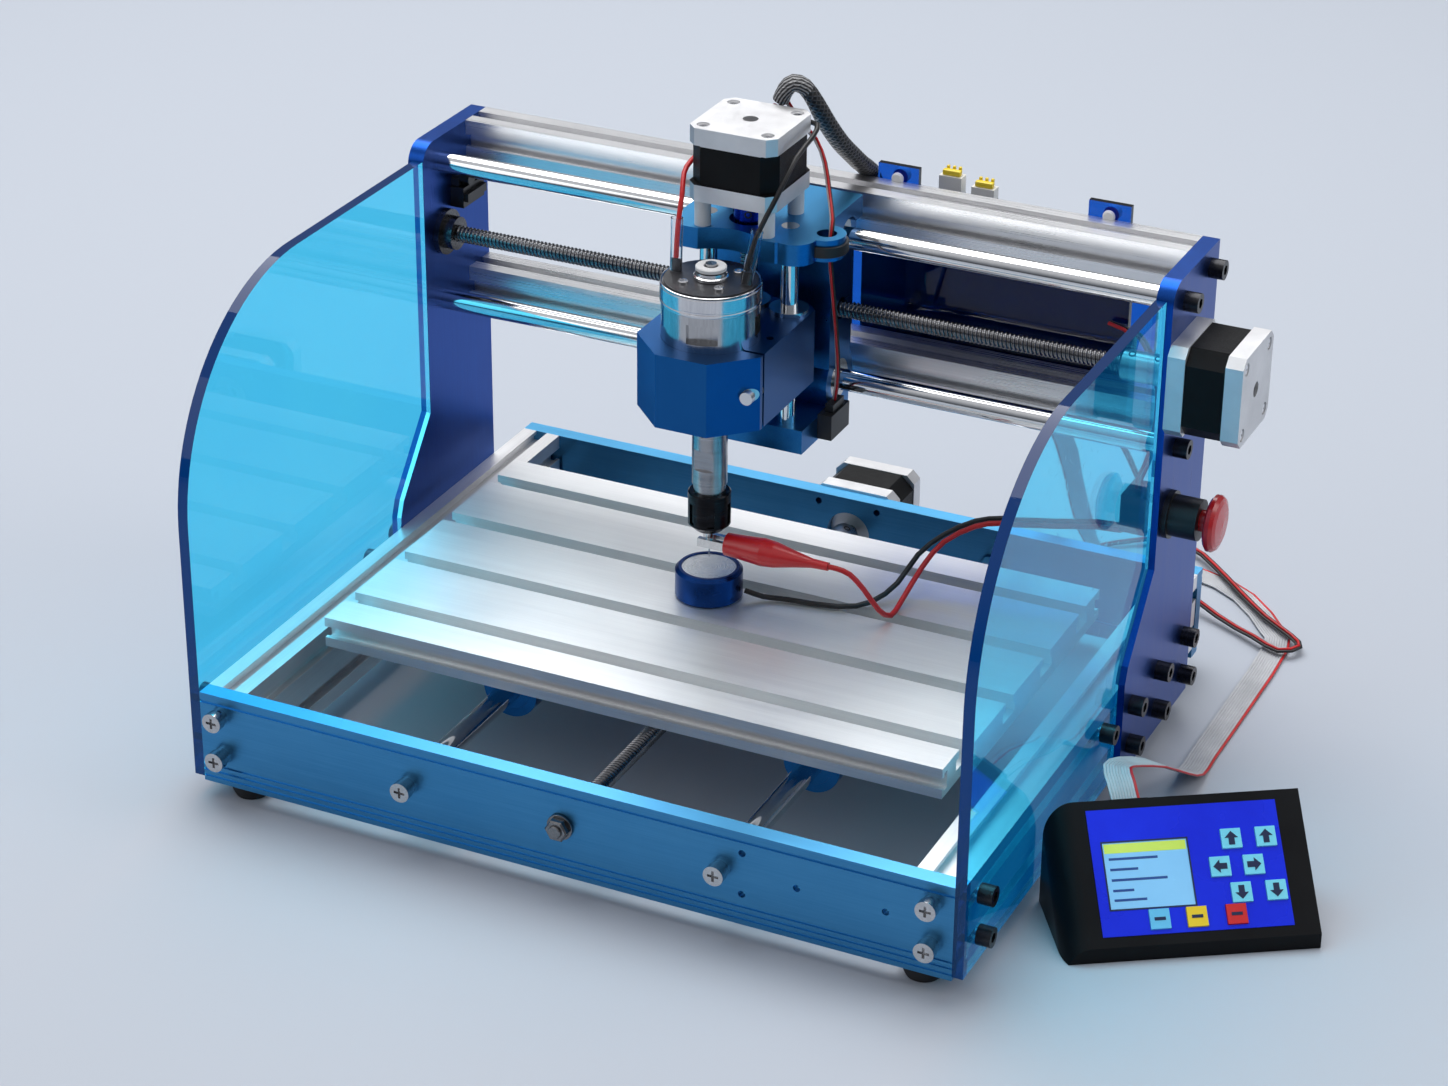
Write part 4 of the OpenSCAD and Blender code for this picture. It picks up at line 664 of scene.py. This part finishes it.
# finishes, by the nodes that wear them
blue, deepBlue = ((0.045, 0.21, 0.43), (0.075, 0.29, 0.54)), ((0.008, 0.055, 0.30), (0.016, 0.09, 0.40))
silver = ((0.74, 0.74, 0.75), (0.88, 0.88, 0.89))
finishes = {
    # the rails and the carriage blue get a painted highlight on their upward faces
    "front_rail rear_rail": grainMetal("satinBlue", blue, (0.3, 0.42), (0.5, 24, 24), 60, bump=0.06,
                                       paintedTopHighlight=(0.13, 0.5, 0.85)),
    "left_plate right_plate": grainMetal("plateBlue", deepBlue, (0.26, 0.38), (24, 24, 1), 60, bump=0.06),
    "carriage_body bed_blocks_and_nut": grainMetal("carriageBlue", ((0.014, 0.13, 0.38), (0.028, 0.2, 0.48)),
                                                   (0.26, 0.38), (24, 1, 24), 60, bump=0.06,
                                                   paintedTopHighlight=(0.06, 0.32, 0.62)),
    "spindle_clamp": radialParts("clampBlue", "Y", (21.6, 0, 181), 3.2,
                                 ((0.6, 0.6, 0.62), (0.85, 0.85, 0.86)),
                                 ((0.008, 0.08, 0.26), (0.014, 0.115, 0.34)), (0.28, 0.4)),
    "side_profiles": grainMetal("sideProfile", silver, (0.3, 0.42), (30, 0.12, 30), 60, metallic=0.85,
                                bump=0.03),
    "gantry_beams": grainMetal("beamSilver", silver, (0.24, 0.34), (0.12, 30, 30), 60, metallic=0.9,
                               bump=0.03),
    "bed": grainMetal("bedSilver", ((0.8, 0.8, 0.81), (0.93, 0.93, 0.93)), (0.36, 0.46), (0.4, 30, 30), 60,
                      metallic=0.85, bump=0.1),
    # the tinted side sheets carry a faint painted glow
    "side_baffles": acrylic("tintedSheet", (0.1, 0.72, 1.0), (0.002, 0.012, 0.1), "X", 0.3, paintedGlow=0.05),
    "controller_cover": acrylic("controllerSheet", (0.01, 0.12, 0.6), (0.0, 0.06, 0.4), "Y", 0.8),
    "x_rods y_rods z_rods": grainMetal("rodChrome", ((0.7, 0.71, 0.72), (0.84, 0.85, 0.86)), (0.06, 0.12),
                                       (1, 1, 1), 500, bump=0.03),
    "feet": moulded("footRubber", ((0.008, 0.008, 0.009), (0.022, 0.022, 0.024)), (0.6, 0.8)),
    "rail_screws": grainMetal("screwSteel", ((0.36, 0.36, 0.37), (0.62, 0.62, 0.63)), (0.12, 0.24),
                              fineness=1500),
    "cap_screws": grainMetal("screwBlack", ((0.02, 0.02, 0.022), (0.06, 0.06, 0.065)), (0.22, 0.4),
                             fineness=1500, metallic=0.9),
    "end_bearing": grainMetal("bearingSteel", ((0.06, 0.06, 0.065), (0.18, 0.18, 0.19)), (0.2, 0.34)),
    "x_bushings_and_nut z_bushings_and_nut": grainMetal(
        "bushingSteel", ((0.45, 0.46, 0.48), (0.7, 0.71, 0.72)), (0.16, 0.3)),
    "x_motor": motorMetal("xMotorMetal", "X", (196, 214)),
    "y_motor": motorMetal("yMotorMetal", "Y", (163, 181)),
    "z_motor": motorMetal("zMotorMetal", "Z", (259.5, 277.5)),
    "motor_standoffs": moulded("standoffNylon", ((0.62, 0.63, 0.64), (0.78, 0.79, 0.8)), (0.35, 0.5)),
    "controller_board": boardMaterial(),
    "x_limit_switch z_limit_switch stop_body": moulded(
        "switchBlack", ((0.007, 0.007, 0.008), (0.025, 0.025, 0.027)), (0.32, 0.5)),
    "stop_button": moulded("stopRed", ((0.5, 0.006, 0.01), (0.64, 0.012, 0.016)), (0.2, 0.32), coat=0.3),
    "spindle_can": grainMetal("canSteel", ((0.34, 0.34, 0.35), (0.6, 0.6, 0.61)), (0.12, 0.26),
                              (10, 10, 1), 90),
    "spindle_cap": moulded("capBlack", ((0.01, 0.01, 0.012), (0.035, 0.035, 0.04)), (0.25, 0.42), coat=0.2),
    "collet_shaft": grainMetal("shaftSteel", ((0.22, 0.22, 0.23), (0.5, 0.5, 0.52)), (0.16, 0.3),
                               (1, 1, 30), 60),
    "collet_nut": grainMetal("nutBlack", ((0.008, 0.008, 0.01), (0.03, 0.03, 0.034)), (0.2, 0.34),
                             (1, 1, 30), 60),
    "height_probe": radialParts("probeMetal", "Z", (-5, 0, 0), 12.47, ((0.72, 0.72, 0.73), (0.9, 0.9, 0.9)),
                                ((0.006, 0.03, 0.14), (0.012, 0.05, 0.2))),
    "cutting_bit clip_jaws": grainMetal("bitSteel", ((0.5, 0.5, 0.52), (0.82, 0.82, 0.83)), (0.12, 0.24),
                                        fineness=1200),
    "clip_boot": moulded("bootRed", ((0.52, 0.008, 0.01), (0.68, 0.016, 0.02)), (0.22, 0.36), coat=0.35),
    "pendant_case": moulded("pendantBlack", ((0.002, 0.002, 0.003), (0.006, 0.006, 0.007)), (0.36, 0.5),
                            specular=0.15),
    # the panel and the keys get a painted glow from their emission, though they are no lamp
    "pendant_panel": moulded("panelBlue", ((0.0, 0.012, 0.5), (0.001, 0.022, 0.62)), (0.24, 0.34),
                             specular=0.3, emission=0.3),
    "key_up key_raise key_left key_right key_down key_lower": moulded(
        "keyCyan", ((0.16, 0.58, 0.72), (0.22, 0.68, 0.82)), (0.28, 0.4), emission=0.12),
    "key_blue": moulded("keyBlue", ((0.1, 0.45, 0.72), (0.15, 0.55, 0.8)), (0.28, 0.4), emission=0.12),
    "key_yellow": moulded("keyYellow", ((0.78, 0.5, 0.01), (0.88, 0.6, 0.02)), (0.28, 0.4), emission=0.12),
    "key_red": moulded("keyRed", ((0.55, 0.01, 0.01), (0.68, 0.02, 0.02)), (0.28, 0.4), emission=0.12),
}


def dressNodes():
    for names, material in finishes.items():
        for name in names.split():
            mesh = nodes[name].data
            mesh.materials.clear()
            mesh.materials.append(material)


dressNodes()
leadBlack = cordSkin("leadBlack", ((0.006, 0.006, 0.007), (0.02, 0.02, 0.022)))
leadRed = cordSkin("leadRed", ((0.45, 0.008, 0.01), (0.6, 0.014, 0.018)))
leadPale = cordSkin("leadPale", ((0.5, 0.42, 0.42), (0.66, 0.56, 0.55)))
ribbonGrey = cordSkin("ribbonGrey", ((0.4, 0.41, 0.43), (0.52, 0.53, 0.55)), (0.4, 0.55))
braidDark = braidSkin("braidDark")
for cordName, piece in cordObjects.items():
    first = ribbonGrey if cordName == "pendantRibbon" else leadBlack
    for skin in (first, leadRed, leadPale, braidDark):
        piece.data.materials.append(skin)
print("finishes made:", len(finishes))

# small parts that the solids leave out
whiteNylon = moulded("whiteNylon", ((0.7, 0.7, 0.7), (0.85, 0.85, 0.85)), (0.3, 0.45))
brightSteel = grainMetal("brightSteel", ((0.62, 0.62, 0.64), (0.86, 0.86, 0.87)), (0.12, 0.24), fineness=1200)
bandSteel = grainMetal("bandSteel", ((0.5, 0.5, 0.52), (0.78, 0.78, 0.8)), (0.1, 0.2), (10, 10, 1), 90)
tieBlack = moulded("tieBlack", ((0.004, 0.004, 0.005), (0.014, 0.014, 0.015)), (0.35, 0.5))
clearSleeve = acrylic("clearSleeve", (0.93, 0.94, 0.96), (0.93, 0.94, 0.96), "Z")
yellowPlug = moulded("yellowPlug", ((0.75, 0.55, 0.02), (0.86, 0.66, 0.04)), (0.3, 0.45))
arrowDark = moulded("arrowDark", ((0.0, 0.01, 0.05), (0.002, 0.02, 0.09)), (0.3, 0.42))
displayPale = moulded("displayPale", ((0.22, 0.5, 0.78), (0.27, 0.58, 0.86)), (0.12, 0.2), emission=0.2)
displayHeader = moulded("displayHeader", ((0.5, 0.62, 0.08), (0.6, 0.72, 0.12)), (0.12, 0.2), emission=0.3)
displayMark = moulded("displayMark", ((0.01, 0.06, 0.25), (0.02, 0.09, 0.32)), (0.3, 0.4))

threadSteel = grainMetal("threadSteel", ((0.1, 0.1, 0.105), (0.3, 0.3, 0.31)), (0.16, 0.3))
couplerSilver = grainMetal("couplerSilver", ((0.4, 0.4, 0.41), (0.62, 0.62, 0.63)), (0.24, 0.36), fineness=800)
couplerBlue = grainMetal("couplerBlue", ((0.008, 0.03, 0.3), (0.014, 0.05, 0.42)), (0.2, 0.32), fineness=800)

# places run from the coupler's middle along the axis, in mm
driveLines = {
    "x_screw": {"middle": (168.5, 72, 189), "axis": (1, 0, 0), "thread": (-348.3, -1.2), "shaft": 50.4,
                "body": "x_drive", "coupler": couplerSilver},
    "y_screw": {"middle": (0, 135.5, 33), "axis": (0, 1, 0), "thread": (-282, -1.2), "shaft": 50.4,
                "body": "y_drive", "coupler": couplerSilver},
    "z_screw": {"middle": (-5, 39, 237.5), "axis": (0, 0, 1), "thread": (-104.3, -1.2), "shaft": 44.9,
                "body": "z_drive", "coupler": couplerBlue},
}
threadForm = {
    "root": 3.3, "crest": 4.0, "pitch": 2, "starts": 2, "stepsPerTurn": 14,
    "sunk": 0.1, "footHalf": 0.46, "crestHalf": 0.14,
    "grubHeights": (-6, 6), "grubAngles": (20, 110),
}


def addHelix(bm, form, low, high):
    lead = form["pitch"] * form["starts"]
    turns = (high - low) / lead
    steps = round(turns * form["stepsPerTurn"])
    foot, crest = form["root"] - form["sunk"], form["crest"]
    wide, narrow = form["footHalf"], form["crestHalf"]
    for k in range(form["starts"]):
        turn = Matrix.Rotation(math.tau * k / form["starts"], 4, "Z")
        section = [
            bm.verts.new(turn @ Vector((radius * mm, 0, (low + form["pitch"] * (0.5 + rise)) * mm)))
            for radius, rise in ((foot, -wide), (crest, -narrow), (crest, narrow), (foot, wide))
        ]
        bmesh.ops.spin(
            bm, geom=[bm.faces.new(section)], cent=(0, 0, 0), axis=(0, 0, 1),
            angle=math.tau * (turns - 0.5), steps=steps,
            dvec=(0, 0, (high - low - form["pitch"]) * mm / steps),
        )


def paintFrom(bm, start, index):
    bm.faces.ensure_lookup_table()
    for f in bm.faces[start:]:
        f.material_index = index


def addDriveLine(name, line):
    place = along(line["axis"], line["middle"])
    low, high = line["thread"]
    bm = bmesh.new()
    addHelix(bm, threadForm, low, high)
    bmesh.ops.transform(bm, matrix=place, verts=bm.verts[:])
    root, shaft = threadForm["root"], line["shaft"]
    addTurned(bm, [(0, low), (root - 0.4, low), (root, low + 0.4), (root, high), (2.5, high),
                   (2.5, shaft - 0.4), (2.1, shaft), (0, shaft)], place, 24)
    if name == "y_screw":  # its journal carries a snap collar and a lock nut
        addTurned(bm, [(0, -297), (2.7, -297), (3, -296.6), (3, -281), (0, -281)], place, 24)
        addTurned(bm, [(3, -292.1), (5.9, -292.1), (6, -292), (6, -290.9), (3, -290.9)], place, 32, True)
        addTurned(bm, [(3, -295.8), (4.7, -295.8), (5.4, -295.1), (5.4, -292.2), (3, -292.2)], place, 6, True)
    plain = len(bm.faces)
    addTurned(bm, [(0, -10.5), (6.4, -10.5), (7, -9.9), (7, 9.9), (6.4, 10.5), (0, 10.5)], place, 40)
    paintFrom(bm, plain, 1)
    dark = len(bm.faces)
    for height in threadForm["grubHeights"]:
        for angle in threadForm["grubAngles"]:
            a = math.radians(angle)
            outward = along((math.cos(a), math.sin(a), 0), (0, 0, 0))
            out = place @ Matrix.Translation((0, 0, height * mm)) @ outward
            addTurned(bm, [(0, 6), (1.7, 6), (1.7, 7.05), (1.0, 7.05), (1.0, 6.4), (0, 6.4)], out, 16)
    paintFrom(bm, dark, 2)
    piece = pieceFrom(name.replace("_screw", "LeadScrew"), bm, line["body"], 30,
                      [threadSteel, line["coupler"], tieBlack])
    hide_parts(name)


spindleDetail = {
    "capTop": 224.5, "x": -5, "bandHeight": 9, "washer": (3.1, 6.9), "sleeveLength": 24,
    "screwAngles": (50, 130, 230, 310), "screwCircle": 13.4,
    "sleeves": ((-17, (-0.02, 0.08, 1)), (17, (0.1, 0.25, 1))),
}


def addSpindleDetail(d):
    top, x = d["capTop"], d["x"]
    centre = along((0, 0, 1), (x, 0, top))
    bm = bmesh.new()
    low = -d["bandHeight"]
    addTurned(bm, [(21.6, low), (22.4, low), (22.5, low + 0.4), (22.5, low + 1.2), (22.15, low + 1.5),
                   (22.15, low + 2.2), (22.5, low + 2.5), (22.5, -1.1), (22.2, -0.8), (22.2, -0.5),
                   (22.45, -0.3), (22.3, 0.35), (21.9, 0.5), (21.4, 0.3), (21.4, 0.05), (21.6, 0.02)], centre, 64, True)
    addPart("canBand", bm, "spindle", 30, bandSteel)
    bm = bmesh.new()
    addTurned(bm, [(6.55, 1.05), (7.6, 1.05), (7.8, 1.3), (7.8, 2.6), (7.2, 3), (7, 4.6), (6.55, 4.6)],
              centre, 40, True)
    addPart("capBoss", bm, "spindle", 30, brightSteel)
    bm = bmesh.new()
    inner, outer = d["washer"]
    addTurned(bm, [(inner, 5.05), (outer - 0.3, 5.05), (outer, 5.35), (outer, 6.6), (outer - 0.4, 7),
                   (inner + 0.3, 7), (inner, 6.7)], centre, 40, True)
    addPart("capWasher", bm, "spindle", 30, whiteNylon)
    bm = bmesh.new()
    for angle in d["screwAngles"]:
        a, reach = math.radians(angle), d["screwCircle"]
        place = along((0, 0, 1), (x + reach * math.cos(a), reach * math.sin(a), top))
        addTurned(bm, [(0, 1.02), (2.3, 1.02), (2.3, 1.9), (1.9, 2.3), (1.1, 2.3), (1.1, 1.5), (0, 1.5)],
                  place, 20)
    addPart("capScrews", bm, "spindle", 30, brightSteel)
    bm = bmesh.new()
    for side, lean in d["sleeves"]:
        addTurned(bm, [(2.25, 0), (2.75, 0), (2.75, d["sleeveLength"]), (2.25, d["sleeveLength"])],
                  along(lean, (x + side, 0, top + 1.4)), 24, True)
    addPart("terminalSleeves", bm, "spindle", 40, clearSleeve)


motorScrews = {
    "lines": (("z", "x_carriage", (-5, 39, 285.5), (0, 0, 1)), ("x", "frame", (222, 72, 189), (1, 0, 0)),
              ("y", "frame", (0, 189, 33), (0, 1, 0))),
    "spread": 15.5, "sunk": 2.15,
}


def addMotorScrews(d):
    spread = d["spread"] * mm
    for name, body, centre, axis in d["lines"]:
        bm = bmesh.new()
        for x, y in ((-spread, -spread), (-spread, spread), (spread, -spread), (spread, spread)):
            place = along(axis, centre) @ Matrix.Translation((x, y, -d["sunk"] * mm))
            addTurned(bm, [(0, 0), (2.75, 0), (2.75, 1.1), (2.2, 1.75), (1.2, 1.9), (0.5, 1.9), (0.45, 1.1),
                           (0, 1.1)], place, 18)
        addPart(name + "MotorScrews", bm, body, 30, brightSteel)


pendantPlan = {
    "corner": (213.5, -112.7), "turn": 33, "front": 7, "slope": 40,
    "display": (22, 16.4, 58.2, 45.4), "header": 4.6, "rim": 0.7, "inset": 0.5,
    "displayRise": (0.02, 0.16), "markRise": (0.165, 0.21), "rimRise": (0.26, 0.4), "keyRise": (1.11, 1.24),
    "marks": ((2, 21, 4), (2, 12, 8.6), (2, 24, 13.2), (2, 9, 17.8), (2, 14, 22)),
    "keys": (("key_up", 77.5, 44, 90), ("key_raise", 92.5, 44, 90), ("key_left", 71, 32, 180),
             ("key_right", 85.5, 32, 0), ("key_down", 78.5, 20.3, -90), ("key_lower", 93.5, 20.3, -90)),
    "tags": (("key_blue", 42, 11), ("key_yellow", 58, 11), ("key_red", 75, 11)), "tagHalf": (2.4, 0.7),
    "arrow": ((3.1, 0), (0.2, 2.9), (0.2, 1.3), (-2.9, 1.3), (-2.9, -1.3), (0.2, -1.3), (0.2, -2.9)),
}


def pendantFace(d):
    turn = Matrix.Rotation(math.radians(d["turn"]), 4, "Z")
    slope = Matrix.Rotation(math.radians(d["slope"]), 4, "X")
    x, y = d["corner"]
    return Matrix.Translation((x * mm, y * mm, 0)) @ turn @ Matrix.Translation((0, 0, d["front"] * mm)) @ slope


def rectangle(x0, y0, x1, y1):
    return [(x0, y0), (x1, y0), (x1, y1), (x0, y1)]


def addPendantPlates(name, body, outlines, heights, place, material):
    bm = bmesh.new()
    for outline in outlines:
        addPlate(bm, outline, *heights, place)
    addPart(name, bm, body, 0, material)


def addPendantDetail(d):
    face = pendantFace(d)
    x0, y0, x1, y1 = d["display"]
    rim, inset = d["rim"], d["inset"]
    under = y1 - d["header"]
    marks = [rectangle(x0 + left, under - drop + 0.9, x0 + left + width, under - drop + 2)
             for left, width, drop in d["marks"]]
    bars = [rectangle(x0 - rim, y0 - rim, x1 + rim, y0), rectangle(x0 - rim, y1, x1 + rim, y1 + rim),
            rectangle(x0 - rim, y0, x0, y1), rectangle(x1, y0, x1 + rim, y1)]
    header = rectangle(x0 + inset, under, x1 - inset, y1 - inset)
    addPendantPlates("display", "pendant", [rectangle(x0, y0, x1, y1)], d["displayRise"], face,
                     displayPale)
    addPendantPlates("displayHeader", "pendant", [header], d["markRise"], face, displayHeader)
    addPendantPlates("displayMarks", "pendant", marks, d["markRise"], face, displayMark)
    addPendantPlates("displayBezel", "pendant", bars, d["rimRise"], face, arrowDark)
    for key, x, y, heading in d["keys"]:
        turn = Matrix.Rotation(math.radians(heading), 4, "Z")
        addPendantPlates(key + "Arrow", key, [d["arrow"]], d["keyRise"],
                         face @ Matrix.Translation((x * mm, y * mm, 0)) @ turn, arrowDark)
    wide, high = d["tagHalf"]
    for key, x, y in d["tags"]:
        addPendantPlates(key + "Mark", key, [rectangle(-wide, -high, wide, high)], d["keyRise"],
                         face @ Matrix.Translation((x * mm, y * mm, 0)), arrowDark)


trimPlan = {
    "lobe": (32, 38, 231.5),
    "earPosts": ((34, 238), (136, 238)),
    "plugs": ((50, 61, 239), (66, 77, 236)), "pins": 3, "pinPitch": 2.9,
}


def addTrim(d):
    bm = bmesh.new()
    addTurned(bm, [(9.6, 0), (10.6, 0), (10.8, 0.3), (10.8, 4.7), (10.6, 5), (9.6, 5)],
              along((0, 0, 1), d["lobe"]), 40, True)
    addPart("cableTie", bm, "x_carriage", 30, tieBlack)
    bm = bmesh.new()
    for x, z in d["earPosts"]:
        addTurned(bm, [(0, 0), (3.6, 0), (3.8, 0.3), (3.8, 4), (3.2, 4.6), (0, 4.6)],
                  along((0, 1, 0), (x, 119.1, z)), 24)
        addTurned(bm, [(0, 0), (2.6, 0), (2.9, 0.4), (2.9, 1.2), (2.2, 1.9), (0, 2)],
                  along((0, -1, 0), (x, 115.9, z)), 24)
    addPart("earPosts", bm, "frame", 30, whiteNylon)
    bm = bmesh.new()
    for x0, x1, top in d["plugs"]:
        addBlock(bm, (x0 + 1.2, 126.4, top + 0.05), (x1 - 1.2, 129.6, top + 2.6), 0.5)
        for i in range(d["pins"]):
            x = x0 + 2.6 + i * d["pinPitch"]
            addBlock(bm, (x - 0.7, 129.8, top + 0.05), (x + 0.7, 131.4, top + 3.6), 0.3)
    addPart("boardPlugs", bm, "frame", 30, yellowPlug)


for screwName, screwLine in driveLines.items():
    addDriveLine(screwName, screwLine)
addSpindleDetail(spindleDetail)
addMotorScrews(motorScrews)
addPendantDetail(pendantPlan)
addTrim(trimPlan)
print("small parts added")
